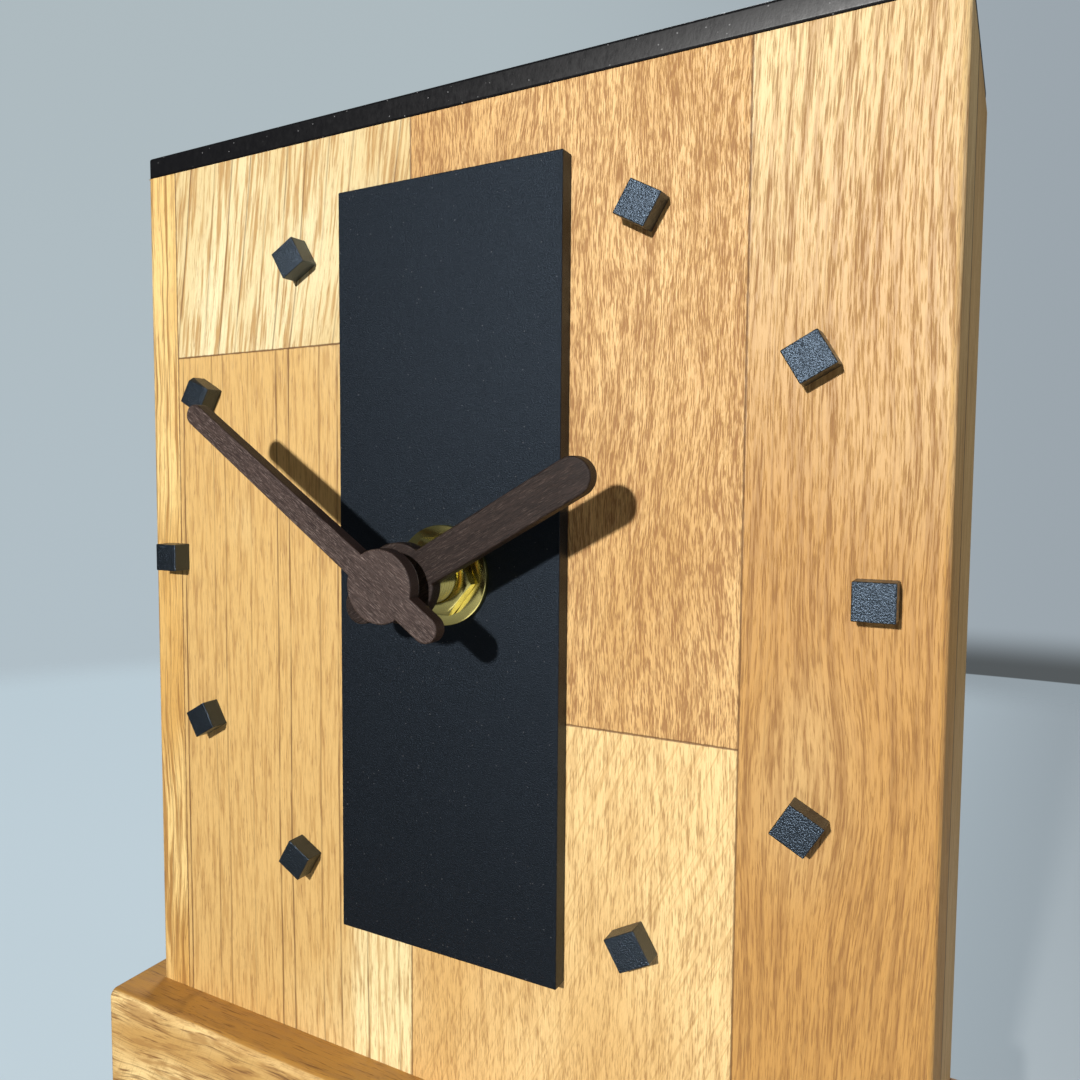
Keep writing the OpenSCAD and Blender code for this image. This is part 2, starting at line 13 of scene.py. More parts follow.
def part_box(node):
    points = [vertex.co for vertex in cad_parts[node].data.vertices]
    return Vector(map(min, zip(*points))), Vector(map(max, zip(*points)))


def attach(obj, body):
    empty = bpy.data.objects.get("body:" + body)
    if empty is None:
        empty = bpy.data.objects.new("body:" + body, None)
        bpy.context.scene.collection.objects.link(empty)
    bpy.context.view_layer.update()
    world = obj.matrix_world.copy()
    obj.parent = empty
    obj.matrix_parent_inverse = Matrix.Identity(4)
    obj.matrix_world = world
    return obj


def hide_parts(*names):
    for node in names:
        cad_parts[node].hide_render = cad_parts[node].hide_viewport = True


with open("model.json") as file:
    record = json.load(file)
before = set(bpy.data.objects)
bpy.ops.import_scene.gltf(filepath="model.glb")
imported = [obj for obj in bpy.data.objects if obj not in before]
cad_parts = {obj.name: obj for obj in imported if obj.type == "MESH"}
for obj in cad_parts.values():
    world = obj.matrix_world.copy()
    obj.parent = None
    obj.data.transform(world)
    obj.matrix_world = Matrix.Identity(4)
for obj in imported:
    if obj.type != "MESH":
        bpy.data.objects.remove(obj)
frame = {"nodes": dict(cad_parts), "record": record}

log = logging.getLogger("mantel_clock")
MM = 0.001
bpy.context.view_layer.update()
CAD_DOUBLES = 2e-6
SPUN_DOUBLES = 1e-7
FLAT_BEND = math.radians(0.5)
CREASE_BEND = math.radians(32.0)
BACKWARDS = Vector((0, 1, 0))
Socket = bpy.types.NodeSocket
Colour = tuple[float, float, float]
Triple = tuple[float, float, float]
Side = tuple[int, int, int]


class Graph:
    """Short calls that add nodes to a shader tree and join them."""

    def __init__(self, tree: bpy.types.NodeTree) -> None:
        """Keeps the tree.

        Args:
            tree: The tree of a material or of a node group.
        """
        self.tree = tree

    def add(self, kind: str, **settings: object) -> bpy.types.Node:
        """Adds a node.

        Args:
            kind: The node's type name.
            settings: Properties of the node.

        Returns:
            The new node.
        """
        node = self.tree.nodes.new(kind)
        for name, value in settings.items():
            setattr(node, name, value)
        return node

    def put(self, target: Socket, value: object) -> None:
        """Joins a socket to the target, or sets the target's value.

        Args:
            target: The input to feed.
            value: A socket, or a plain number, vector or colour.
        """
        if isinstance(value, bpy.types.NodeSocket):
            self.tree.links.new(value, target)
        elif target.type == "RGBA" and len(value) == 3:
            target.default_value = (*value, 1.0)
        else:
            target.default_value = value

    def math(self, operation: str, *values: object, clamp: bool = False) -> Socket:
        """A Math node.

        Args:
            operation: What it works out.
            values: Up to three sockets or numbers.
            clamp: Whether the result stays between 0 and 1.

        Returns:
            The result.
        """
        node = self.add("ShaderNodeMath", operation=operation, use_clamp=clamp)
        for target, value in zip(node.inputs, values):
            self.put(target, value)
        return node.outputs[0]

    def vector(self, operation: str, *values: object) -> Socket:
        """A Vector Math node.

        Args:
            operation: What it works out.
            values: Up to three sockets or vectors.

        Returns:
            A value for a length, and a vector for the others.
        """
        node = self.add("ShaderNodeVectorMath", operation=operation)
        for target, value in zip(node.inputs, values):
            self.put(target, value)
        return node.outputs["Value" if operation == "LENGTH" else "Vector"]

    def noise(self, vector: Socket, scale: float = 1.0, detail: float = 2.0,
              roughness: float = 0.5, distortion: float = 0.0) -> Socket:
        """A Noise Texture.

        Args:
            vector: The position where it is read.
            scale: How often it repeats in a unit.
            detail: How many finer layers it has.
            roughness: How strong the finer layers are.
            distortion: How far it is pushed about.

        Returns:
            Its factor.
        """
        node = self.add("ShaderNodeTexNoise", noise_dimensions="3D")
        for name, value in (("Vector", vector), ("Scale", scale), ("Detail", detail),
                            ("Roughness", roughness), ("Distortion", distortion)):
            self.put(node.inputs[name], value)
        return node.outputs["Fac"]

    def cells(self, vector: Socket, scale: float) -> Socket:
        """A Voronoi Texture.

        Args:
            vector: The position where it is read.
            scale: How many cells there are in a unit.

        Returns:
            The distance to the nearest cell's centre.
        """
        node = self.add("ShaderNodeTexVoronoi", feature="F1")
        self.put(node.inputs["Vector"], vector)
        self.put(node.inputs["Scale"], scale)
        return node.outputs["Distance"]

    def step(self, value: Socket, low: object, high: object, start: float = 0.0,
             end: float = 1.0) -> Socket:
        """A smooth step from start to end while a value goes from low to high.

        Args:
            value: The value.
            low: Where the step begins.
            high: Where it is over.
            start: The result up to low.
            end: The result from high.

        Returns:
            The result.
        """
        node = self.add("ShaderNodeMapRange", interpolation_type="SMOOTHSTEP")
        for name, item in (("Value", value), ("From Min", low), ("From Max", high),
                           ("To Min", start), ("To Max", end)):
            self.put(node.inputs[name], item)
        return node.outputs["Result"]

    def mix(self, factor: object, first: object, second: object) -> Socket:
        """A mix of two colours.

        Args:
            factor: The second colour's share, from 0 to 1.
            first: The first colour.
            second: The second colour.

        Returns:
            The mixed colour.
        """
        node = self.add("ShaderNodeMix", data_type="RGBA", blend_type="MIX")
        node.clamp_factor = True
        for index, item in ((0, factor), (6, first), (7, second)):
            self.put(node.inputs[index], item)
        return node.outputs[2]

    def mapped(self, vector: Socket, scale: Triple = (1, 1, 1), turn: Triple = (0, 0, 0),
               shift: Triple = (0, 0, 0)) -> Socket:
        """A position scaled, then turned, then shifted.

        Args:
            vector: The position.
            scale: The scale along each axis.
            turn: The turn about each axis, in radians.
            shift: The shift along each axis.

        Returns:
            The new position.
        """
        node = self.add("ShaderNodeMapping", vector_type="POINT")
        for name, item in (("Vector", vector), ("Scale", scale), ("Rotation", turn),
                           ("Location", shift)):
            self.put(node.inputs[name], item)
        return node.outputs["Vector"]

    def parts(self, vector: Socket) -> tuple[Socket, Socket, Socket]:
        """Takes a vector apart.

        Args:
            vector: The vector.

        Returns:
            Its X, Y and Z.
        """
        node = self.add("ShaderNodeSeparateXYZ")
        self.put(node.inputs[0], vector)
        return node.outputs[0], node.outputs[1], node.outputs[2]

    def whole(self, x: object, y: object, z: object) -> Socket:
        """Puts a vector together.

        Args:
            x: Its X, a socket or a number.
            y: Its Y.
            z: Its Z.

        Returns:
            The vector.
        """
        node = self.add("ShaderNodeCombineXYZ")
        for target, value in zip(node.inputs, (x, y, z)):
            self.put(target, value)
        return node.outputs[0]

    def use(self, group: bpy.types.NodeTree, **values: object) -> bpy.types.Node:
        """Places a node group.

        Args:
            group: The group.
            values: Its inputs by name, where an underscore stands for a space.

        Returns:
            The group's node.
        """
        node = self.add("ShaderNodeGroup", node_tree=group)
        for name, value in values.items():
            self.put(node.inputs[name.replace("_", " ")], value)
        return node


def new_group(name: str, inputs: Sequence[tuple[str, str, object]],
              outputs: Sequence[tuple[str, str]]) -> tuple[Graph, bpy.types.Node, bpy.types.Node]:
    """Starts a shader node group.

    Args:
        name: The group's name.
        inputs: Name, socket type and default of each input.
        outputs: Name and socket type of each output.

    Returns:
        The graph inside it, its input node and its output node.
    """
    tree = bpy.data.node_groups.new(name, "ShaderNodeTree")
    for label, kind, default in inputs:
        made = tree.interface.new_socket(label, in_out="INPUT", socket_type=kind)
        made.default_value = default
    for label, kind in outputs:
        tree.interface.new_socket(label, in_out="OUTPUT", socket_type=kind)
    graph = Graph(tree)
    return graph, graph.add("NodeGroupInput"), graph.add("NodeGroupOutput")


def oak_figure_group() -> bpy.types.NodeTree:
    """Streaks, flecks, pore lines, fibres and rays of oak in millimetres, the grain along Z.

    Returns:
        The node group.
    """
    number, triple = "NodeSocketFloat", "NodeSocketVector"
    g, start, end = new_group(
        "oak_figure",
        [("Vector", triple, (0, 0, 0)), ("Wander", number, 3.0), ("Wander Length", number, 60.0),
         ("Streak Width", number, 1.2), ("Streak Length", number, 14.0),
         ("Fleck Width", number, 0.35), ("Fleck Length", number, 3.0),
         ("Fleck Share", number, 0.3), ("Line Gap", number, 5.0), ("Line Width", number, 0.2),
         ("Ray Slant", number, 0.5), ("Ray Length", number, 12.0),
         ("Knot", triple, (0, 0, 0)), ("Knot Size", number, 8.0), ("Knot Push", number, 0.0)],
        [("Drift", number), ("Streaks", number), ("Flecks", number), ("Lines", number),
         ("Fibre", number), ("Rays", number), ("Height", number)])
    pull = start.outputs
    x, y, z = g.parts(pull["Vector"])
    span = g.whole(g.math("MULTIPLY", pull["Wander Length"], 0.4), 30.0, pull["Wander Length"])
    drift = g.noise(g.vector("DIVIDE", pull["Vector"], span), detail=2.0, roughness=0.45)
    from_knot = g.vector("SUBTRACT", pull["Vector"], pull["Knot"])
    distance = g.vector("LENGTH", g.vector("MULTIPLY", from_knot, (1.0, 0.4, 0.6)))
    share = g.math("DIVIDE", distance, pull["Knot Size"])
    near = g.math("POWER", math.e, g.math("MULTIPLY", g.math("MULTIPLY", share, share), -1.0))
    aside = g.math("DIVIDE", g.parts(from_knot)[0], pull["Knot Size"])
    bulge = g.math("MULTIPLY", g.math("MULTIPLY", near, pull["Knot Push"]), aside)
    wavy = g.math("MULTIPLY_ADD", g.math("SUBTRACT", drift, 0.5), pull["Wander"], x)
    bent = g.math("SUBTRACT", wavy, bulge)
    grain = g.whole(bent, y, z)
    broad = g.vector("DIVIDE", grain, g.whole(pull["Streak Width"], pull["Streak Width"],
                                              pull["Streak Length"]))
    streaks = g.noise(broad, detail=3.0, roughness=0.62)
    short = g.vector("DIVIDE", grain, g.whole(pull["Fleck Width"], pull["Fleck Width"],
                                              pull["Fleck Length"]))
    dashes = g.noise(short, detail=3.0, roughness=0.55)
    limit = g.math("MULTIPLY_ADD", pull["Fleck Share"], -0.22, 0.66)
    crowd = g.math("MULTIPLY", g.math("SUBTRACT", streaks, 0.5), 0.28)
    flecks = g.step(g.math("ADD", g.math("SUBTRACT", dashes, limit), crowd), -0.09, 0.12)
    row = g.math("DIVIDE", bent, pull["Line Gap"])
    chance = g.add("ShaderNodeTexWhiteNoise", noise_dimensions="1D")
    g.put(chance.inputs["W"], g.math("FLOOR", row))
    spot, weight, _ = g.parts(chance.outputs["Color"])
    off = g.math("ABSOLUTE", g.math("SUBTRACT", g.math("FRACT", row),
                                    g.math("MULTIPLY_ADD", spot, 0.6, 0.2)))
    width = g.math("DIVIDE", pull["Line Width"], pull["Line Gap"])
    broken = g.noise(g.mapped(grain, (1.2, 1.2, 0.10), shift=(3, 8, 1)), detail=3.0)
    kept = g.math("MULTIPLY", g.step(broken, 0.30, 0.56, 0.25, 1.0),
                  g.math("MULTIPLY_ADD", weight, 0.7, 0.3))
    lines = g.math("MULTIPLY", g.step(off, width, 0.0), kept)
    fibre = g.noise(g.mapped(grain, (5.5, 5.5, 0.22)), detail=4.0, roughness=0.74)
    leaning = g.add("ShaderNodeVectorRotate", rotation_type="Y_AXIS")
    g.put(leaning.inputs["Vector"], pull["Vector"])
    g.put(leaning.inputs["Angle"], pull["Ray Slant"])
    rayed = g.vector("DIVIDE", leaning.outputs[0], g.whole(0.38, 0.38, pull["Ray Length"]))
    rays = g.step(g.noise(rayed, detail=2.0), 0.54, 0.70)
    cut = g.math("MAXIMUM", flecks, lines)
    hollow = g.math("MULTIPLY_ADD", cut, -1.0, g.math("MULTIPLY", fibre, 0.5))
    for name, value in (("Drift", drift), ("Streaks", streaks), ("Flecks", flecks),
                        ("Lines", lines), ("Fibre", fibre), ("Rays", rays), ("Height", hollow)):
        g.put(end.inputs[name], value)
    return g.tree


def powder_group() -> bpy.types.NodeTree:
    """The fine pebbled skin of a powder coat, with pale specks that stand for grains of dirt and
    for painted glints.

    Returns:
        The node group.
    """
    number, triple = "NodeSocketFloat", "NodeSocketVector"
    g, start, end = new_group(
        "powder_skin",
        [("Vector", triple, (0, 0, 0)), ("Grain", number, 0.3)],
        [("Pebbles", number), ("Clouds", number), ("Specks", number)])
    pull = start.outputs
    scaled = g.vector("DIVIDE", pull["Vector"], g.whole(pull["Grain"], pull["Grain"],
                                                        pull["Grain"]))
    pebbles = g.math("ADD", g.noise(scaled, detail=2.0, roughness=0.7),
                     g.math("MULTIPLY", g.cells(scaled, 1.0), 0.5))
    clouds = g.noise(pull["Vector"], 0.06, detail=3.0)
    # Pale specks: partly grains of dirt, partly painted glints.
    pale_specks = g.step(g.cells(pull["Vector"], 0.75), 0.09, 0.03)
    for name, value in (("Pebbles", pebbles), ("Clouds", clouds), ("Specks", pale_specks)):
        g.put(end.inputs[name], value)
    return g.tree


def scuff_group() -> bpy.types.NodeTree:
    """Faint handling marks: fine scratches in every direction and soft smudges.

    Returns:
        The node group.
    """
    number, triple = "NodeSocketFloat", "NodeSocketVector"
    g, start, end = new_group("scuffs", [("Vector", triple, (0, 0, 0))],
                              [("Smudge", number), ("Scratch", number)])
    pull = start.outputs["Vector"]
    smudge = g.noise(pull, 0.35, detail=4.0, roughness=0.6)
    first = g.noise(g.mapped(pull, (7.0, 7.0, 0.25), (0.3, 0.5, 0.2)), detail=2.0)
    second = g.noise(g.mapped(pull, (0.3, 6.0, 6.0), (0.7, 0.1, 0.9)), detail=2.0)
    g.put(end.inputs["Smudge"], smudge)
    g.put(end.inputs["Scratch"], g.math("MAXIMUM", first, second))
    return g.tree


class Groups:
    """The shared node groups, each built once."""

    def __init__(self) -> None:
        """Builds the groups."""
        self.oak = oak_figure_group()
        self.powder = powder_group()
        self.scuffs = scuff_group()


GROUPS = Groups()


def new_material(name: str) -> tuple[bpy.types.Material, Graph, bpy.types.Node, Socket]:
    """Starts a material.

    Args:
        name: The material's name.

    Returns:
        The material, its graph, its Principled BSDF and its position in millimetres.
    """
    made = bpy.data.materials.new(name)
    made.use_nodes = True
    graph = Graph(made.node_tree)
    shader = made.node_tree.nodes["Principled BSDF"]
    place = graph.add("ShaderNodeTexCoord").outputs["Object"]
    return made, graph, shader, graph.mapped(place, (1 / MM, 1 / MM, 1 / MM))


def bump(graph: Graph, shader: bpy.types.Node, height: Socket, depth_mm: float,
         strength: float = 1.0) -> None:
    """Feeds a height to a shader's normal.

    Args:
        graph: The material's graph.
        shader: Its shader.
        height: The height, from about 0 to 1.
        depth_mm: Millimetres that a height of 1 stands for.
        strength: How strongly it bends the normal.
    """
    node = graph.add("ShaderNodeBump")
    node.inputs["Distance"].default_value = depth_mm * MM
    node.inputs["Strength"].default_value = strength
    graph.put(node.inputs["Height"], height)
    graph.put(shader.inputs["Normal"], node.outputs["Normal"])


class Grain(Enum):
    """Which way a board's grain runs."""

    UPRIGHT = (0.0, 0.0, 0.0)
    LEVEL = (0.0, math.pi / 2, 0.0)


@dataclass(frozen=True)
class Oak:
    """Oiled oak, cut from one board.

    Sizes and places are in millimetres. The glue lines glue_x and glue_z are places along X and Z,
    and glue_y is the one seam along the panel's sides. The shades say from where to where, along X
    or Z, the paler colour gives way to the darker one, and by how much.
    """

    name: str
    pale: Colour
    tone: Colour
    streak: Colour
    fleck: Colour
    line: Colour = (0.16, 0.075, 0.022)
    ray: Colour = (0.46, 0.27, 0.09)
    glue: Colour = (0.15, 0.065, 0.018)
    seam: Colour = (0.040, 0.010, 0.006)
    slant: float = 0.0
    shift: Triple = (0.0, 0.0, 0.0)
    wander: float = 3.0
    wander_length: float = 60.0
    streak_width: float = 1.2
    streak_length: float = 14.0
    streak_strength: float = 0.6
    fleck_width: float = 0.22
    fleck_length: float = 3.0
    fleck_share: float = 0.3
    fleck_strength: float = 0.6
    line_gap: float = 5.0
    line_width: float = 0.2
    line_strength: float = 0.0
    fibre_strength: float = 0.5
    ray_slant: float = 0.45
    ray_length: float = 12.0
    ray_strength: float = 0.0
    knot: Triple = (0.0, 0.0, 0.0)
    knot_size: float = 8.0
    knot_push: float = 0.0
    glue_x: tuple[float, ...] = ()
    glue_z: tuple[float, ...] = ()
    glue_y: float = 1000.0
    shade_x: Triple = (0.0, 1.0, 0.0)
    shade_z: Triple = (0.0, 1.0, 0.0)
    grain: Grain = Grain.UPRIGHT
    roughness: float = 0.48
    ior: float = 1.48
    relief: float = 0.07

    def material(self) -> bpy.types.Material:
        """Builds the material.

        Returns:
            The material.
        """
        made, g, shader, place = new_material(self.name)
        laid = g.mapped(place, turn=self.grain.value)
        slanted = g.mapped(laid, turn=(0.0, self.slant, 0.0), shift=self.shift)
        knot = tuple(a + b for a, b in zip(self.knot, self.shift))
        figure = g.use(GROUPS.oak, Vector=slanted, Wander=self.wander,
                       Wander_Length=self.wander_length, Streak_Width=self.streak_width,
                       Streak_Length=self.streak_length, Fleck_Width=self.fleck_width,
                       Fleck_Length=self.fleck_length, Fleck_Share=self.fleck_share,
                       Line_Gap=self.line_gap, Line_Width=self.line_width,
                       Ray_Slant=self.ray_slant, Ray_Length=self.ray_length, Knot=knot,
                       Knot_Size=self.knot_size, Knot_Push=self.knot_push).outputs
        x, y, z = g.parts(place)
        shade = g.step(figure["Drift"], 0.34, 0.66, 0.0, 0.8)
        # On the plinth, the shade along Z darkens the top face: painted shade.
        for along, (first, last, amount) in ((x, self.shade_x), (z, self.shade_z)):
            shade = g.math("ADD", shade, g.step(along, first, last, 0.0, amount), clamp=True)
        colour = g.mix(shade, self.pale, self.tone)
        layers = ((g.step(figure["Streaks"], 0.46, 0.62), self.streak_strength, self.streak),
                  (g.step(figure["Fibre"], 0.47, 0.66), self.fibre_strength, self.streak),
                  (figure["Rays"], self.ray_strength, self.ray),
                  (figure["Flecks"], self.fleck_strength, self.fleck),
                  (figure["Lines"], self.line_strength, self.line))
        for mask, strength, tint in layers:
            if strength:
                colour = g.mix(g.math("MULTIPLY", mask, strength), colour, tint)
        shaky = g.math("MULTIPLY", g.noise(place, 0.9, detail=2.0), 0.22)
        for along, lines, reach, strength, tint in ((x, self.glue_x, 0.12, 0.7, self.glue),
                                                    (z, self.glue_z, 0.12, 0.8, self.glue),
                                                    (y, (self.glue_y,), 1.0, 0.95, self.seam)):
            for line in lines:
                off = g.math("ABSOLUTE", g.math("SUBTRACT", along, line))
                near = g.step(g.math("SUBTRACT", off, shaky), -0.02, reach, strength, 0.0)
                colour = g.mix(near, colour, tint)
        g.put(shader.inputs["Base Color"], colour)
        rough = g.math("MULTIPLY_ADD", figure["Flecks"], 0.2, self.roughness - 0.05)
        g.put(shader.inputs["Roughness"], g.math("MULTIPLY_ADD", figure["Fibre"], 0.12, rough))
        shader.inputs["IOR"].default_value = self.ior
        bump(g, shader, figure["Height"], self.relief, 0.55)
        return made


@dataclass(frozen=True)
class DarkWood:
    """Satin wenge with pale open pores, its grain along one hand, and a darker colour on the faces
    turned away from the front as painted shade.
    """

    name: str
    turn: float
    centre: Triple
    face: Colour = (0.082, 0.055, 0.047)
    deep: Colour = (0.020, 0.011, 0.009)
    pore: Colour = (0.330, 0.255, 0.225)
    # Colour of the hands' edges: painted shade.
    side: Colour = (0.020, 0.006, 0.003)
    specular: float = 0.24
    relief: float = 0.07

    def material(self) -> bpy.types.Material:
        """Builds the material.

        Returns:
            The material.
        """
        made, g, shader, place = new_material(self.name)
        moved = g.mapped(place, shift=tuple(-c for c in self.centre))
        along = g.mapped(moved, turn=(0.0, -self.turn, 0.0))
        streak = g.noise(g.mapped(along, (9.0, 9.0, 0.40)), detail=4.0, roughness=0.70)
        pores = g.step(g.noise(g.mapped(along, (11.0, 11.0, 0.80), shift=(7, 3, 5)), detail=3.0,
                               roughness=0.65), 0.54, 0.66)
        tone = g.noise(g.mapped(along, (0.7, 0.7, 0.05)), detail=2.0)
        base = g.mix(g.step(streak, 0.36, 0.62), self.deep, self.face)
        soft = g.mix(g.step(tone, 0.3, 0.7, 0.0, 0.35), base, self.deep)
        bared = g.mix(g.math("MULTIPLY", pores, 0.6), soft, self.pore)
        # Faces not turned to the front take the dark edge colour: painted shade.
        front = g.parts(g.add("ShaderNodeNewGeometry").outputs["Normal"])[1]
        aside = g.step(front, -0.8, -0.3)
        g.put(shader.inputs["Base Color"],
              g.mix(aside, bared, g.mix(pores, self.deep, self.side)))
        g.put(shader.inputs["Roughness"], g.math("MULTIPLY_ADD", streak, 0.3, 0.36))
        shader.inputs["Specular IOR Level"].default_value = self.specular
        bump(g, shader, g.math("MULTIPLY_ADD", pores, -0.6, streak), self.relief, 0.7)
        return made


@dataclass(frozen=True)
class Powder:
    """Black finish with a fine pebbled skin; its pebble tops are a little paler as a painted glint,
    and its pale specks stand for grains of dirt and for painted glints.
    """

    name: str
    colour: Colour = (0.0012, 0.0015, 0.0022)
    painted_pebble_glint: Colour = (0.0080, 0.0095, 0.0125)
    speck: Colour = (0.30, 0.30, 0.31)
    gloss: Colour = (0.57, 0.76, 1.0)
    specular: float = 0.30
    grain: float = 0.15
    depth: float = 0.11
    roughness: float = 0.42
    pale_specks: float = 0.30

    def material(self) -> bpy.types.Material:
        """Builds the material.

        Returns:
            The material.
        """
        made, g, shader, place = new_material(self.name)
        skin = g.use(GROUPS.powder, Vector=place, Grain=self.grain).outputs
        # Paler pebble tops: a painted glint.
        high = g.step(skin["Pebbles"], 0.55, 1.0)
        colour = g.mix(high, self.colour, self.painted_pebble_glint)
        # Pale specks: partly grains of dirt, partly painted glints.
        g.put(shader.inputs["Base Color"],
              g.mix(g.math("MULTIPLY", skin["Specks"], self.pale_specks), colour, self.speck))
        g.put(shader.inputs["Roughness"],
              g.math("MULTIPLY_ADD", skin["Clouds"], 0.08, self.roughness - 0.04))
        shader.inputs["Specular IOR Level"].default_value = self.specular
        shader.inputs["Specular Tint"].default_value = (*self.gloss, 1.0)
        bump(g, shader, skin["Pebbles"], self.depth, 0.6)
        return made


@dataclass(frozen=True)
class Lacquer:
    """Black lacquer over wood, with faint brush marks across it."""

    name: str
    colour: Colour = (0.004, 0.004, 0.005)
    speck: Colour = (0.35, 0.35, 0.36)
    brush: Triple = (1.6, 0.10, 0.9)
    roughness: float = 0.34
    specular: float = 0.3
    relief: float = 0.03

    def material(self) -> bpy.types.Material:
        """Builds the material.

        Returns:
            The material.
        """
        made, g, shader, place = new_material(self.name)
        strokes = g.noise(g.mapped(place, self.brush), detail=4.0, roughness=0.65)
        pale_specks = g.step(g.cells(place, 0.8), 0.11, 0.05)
        g.put(shader.inputs["Base Color"],
              g.mix(g.math("MULTIPLY", pale_specks, 0.5), self.colour, self.speck))
        g.put(shader.inputs["Roughness"],
              g.math("MULTIPLY_ADD", strokes, 0.30, self.roughness - 0.12))
        shader.inputs["Specular IOR Level"].default_value = self.specular
        bump(g, shader, strokes, self.relief, 0.5)
        return made


@dataclass(frozen=True)
class Metal:
    """Turned, drawn or plated metal with fine marks and smudges."""

    name: str
    colour: Colour
    roughness: float = 0.16
    stretch: Triple = (3.0, 3.0, 3.0)
    mark_depth: float = 0.004

    def material(self) -> bpy.types.Material:
        """Builds the material.

        Returns:
            The material.
        """
        made, g, shader, place = new_material(self.name)
        worn = g.use(GROUPS.scuffs, Vector=place).outputs
        marks = g.noise(g.mapped(place, self.stretch), detail=3.0)
        shader.inputs["Metallic"].default_value = 1.0
        dull = tuple(c * 0.80 for c in self.colour)
        g.put(shader.inputs["Base Color"],
              g.mix(g.step(worn["Smudge"], 0.45, 0.75, 0.0, 0.6), self.colour, dull))
        rough = g.math("MULTIPLY_ADD", worn["Smudge"], 0.14, self.roughness - 0.06)
        g.put(shader.inputs["Roughness"], g.math("MULTIPLY_ADD", marks, 0.06, rough))
        bump(g, shader, g.math("ADD", marks, worn["Scratch"]), self.mark_depth, 0.6)
        return made


@dataclass(frozen=True)
class Moulded:
    """Moulded plastic or rubber with a fine spark texture."""

    name: str
    colour: Colour
    roughness: float = 0.48
    grain: float = 3.5
    depth: float = 0.012

    def material(self) -> bpy.types.Material:
        """Builds the material.

        Returns:
            The material.
        """
        made, g, shader, place = new_material(self.name)
        spark = g.noise(place, self.grain, detail=3.0, roughness=0.6)
        clouds = g.noise(place, 0.12, detail=3.0)
        shade = tuple(c * 0.82 for c in self.colour)
        g.put(shader.inputs["Base Color"], g.mix(g.step(clouds, 0.35, 0.7), self.colour, shade))
        g.put(shader.inputs["Roughness"], g.math("MULTIPLY_ADD", spark, 0.2, self.roughness - 0.1))
        bump(g, shader, spark, self.depth, 0.6)
        return made


@dataclass(frozen=True)
class Sleeve:
    """A cell's printed sleeve in two plain colours, with bare metal at both ends."""

    name: str
    node: str
    body: Colour = (0.035, 0.075, 0.060)
    band: Colour = (0.46, 0.48, 0.47)
    steel: Colour = (0.62, 0.62, 0.60)
    ring: Colour = (0.70, 0.70, 0.66)

    def material(self) -> bpy.types.Material:
        """Builds the material.

        Returns:
            The material.
        """
        made, g, shader, place = new_material(self.name)
        low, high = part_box(self.node)
        start, end = low.x / MM, high.x / MM
        x = g.parts(place)[0]
        share = g.math("DIVIDE", g.math("SUBTRACT", x, start), end - start)
        banded = g.step(share, 0.715, 0.72)
        edge = g.step(g.math("ABSOLUTE", g.math("SUBTRACT", share, 0.70)), 0.012, 0.008)
        bare = g.step(g.math("ABSOLUTE", g.math("SUBTRACT", share, 0.5)), 0.475, 0.48)
        printed = g.mix(edge, g.mix(banded, self.body, self.band), self.ring)
        g.put(shader.inputs["Base Color"], g.mix(bare, printed, self.steel))
        g.put(shader.inputs["Metallic"], g.math("MAXIMUM", bare, g.math("MULTIPLY", banded, 0.6)))
        worn = g.use(GROUPS.scuffs, Vector=place).outputs["Smudge"]
        g.put(shader.inputs["Roughness"], g.math("MULTIPLY_ADD", worn, 0.2, 0.18))
        return made


@dataclass(frozen=True)
class Felt:
    """Pressed felt: short fibres lying every way."""

    name: str
    colour: Colour
    relief: float = 0.18

    def material(self) -> bpy.types.Material:
        """Builds the material.

        Returns:
            The material.
        """
        made, g, shader, place = new_material(self.name)
        fluff = g.noise(place, 2.6, detail=6.0, roughness=0.8, distortion=1.5)
        light = tuple(min(1.0, c * 2.2) for c in self.colour)
        g.put(shader.inputs["Base Color"], g.mix(g.step(fluff, 0.3, 0.75), self.colour, light))
        shader.inputs["Roughness"].default_value = 0.95
        shader.inputs["Sheen Weight"].default_value = 0.4
        bump(g, shader, fluff, self.relief, 0.9)
        return made


BODIES = {node: body for body, nodes in frame["record"]["behaviour"]["bodies"].items()
          for node in nodes}


def copied(node: str) -> bmesh.types.BMesh:
    """A merged copy of a CAD node's mesh, with its flat faces joined.

    Args:
        node: The CAD node.

    Returns:
        The copy.
    """
    bm = bmesh.new()
    bm.from_mesh(frame["nodes"][node].data)
    bmesh.ops.remove_doubles(bm, verts=bm.verts, dist=CAD_DOUBLES)
    bmesh.ops.dissolve_limit(bm, angle_limit=FLAT_BEND, verts=bm.verts, edges=bm.edges)
    return bm


def side_of(edge: bmesh.types.BMEdge, low: Vector, high: Vector) -> Side:
    """Says where the middle of an edge lies in a box.

    Args:
        edge: The edge.
        low: The box's lowest corner.
        high: Its highest corner.

    Returns:
        For each axis, -1 on the low side, 1 on the high side and 0 between them.
    """
    middle = (edge.verts[0].co + edge.verts[1].co) / 2
    slack = 0.01 * MM
    return tuple(-1 if middle[i] < low[i] + slack else 1 if middle[i] > high[i] - slack else 0
                 for i in range(3))


def soften(bm: bmesh.types.BMesh, radius_of: Callable[[bmesh.types.BMEdge], float],
           least_angle: float = 28.0) -> float:
    """Gives each sharp edge the radius that its bevel will have.

    Args:
        bm: The mesh.
        radius_of: Radius in millimetres of an edge.
        least_angle: Bend in degrees from which an edge counts as sharp.

    Returns:
        The biggest radius.
    """
    layer = bm.edges.layers.float.new("bevel_weight_edge")
    radii = {}
    for edge in bm.edges:
        if len(edge.link_faces) == 2 and edge.calc_face_angle(0.0) > math.radians(least_angle):
            radii[edge] = radius_of(edge)
            edge.smooth = radii[edge] > 0
    biggest = max(radii.values(), default=0.0)
    for edge, radius in radii.items():
        edge[layer] = radius / biggest if biggest else 0.0
    return biggest


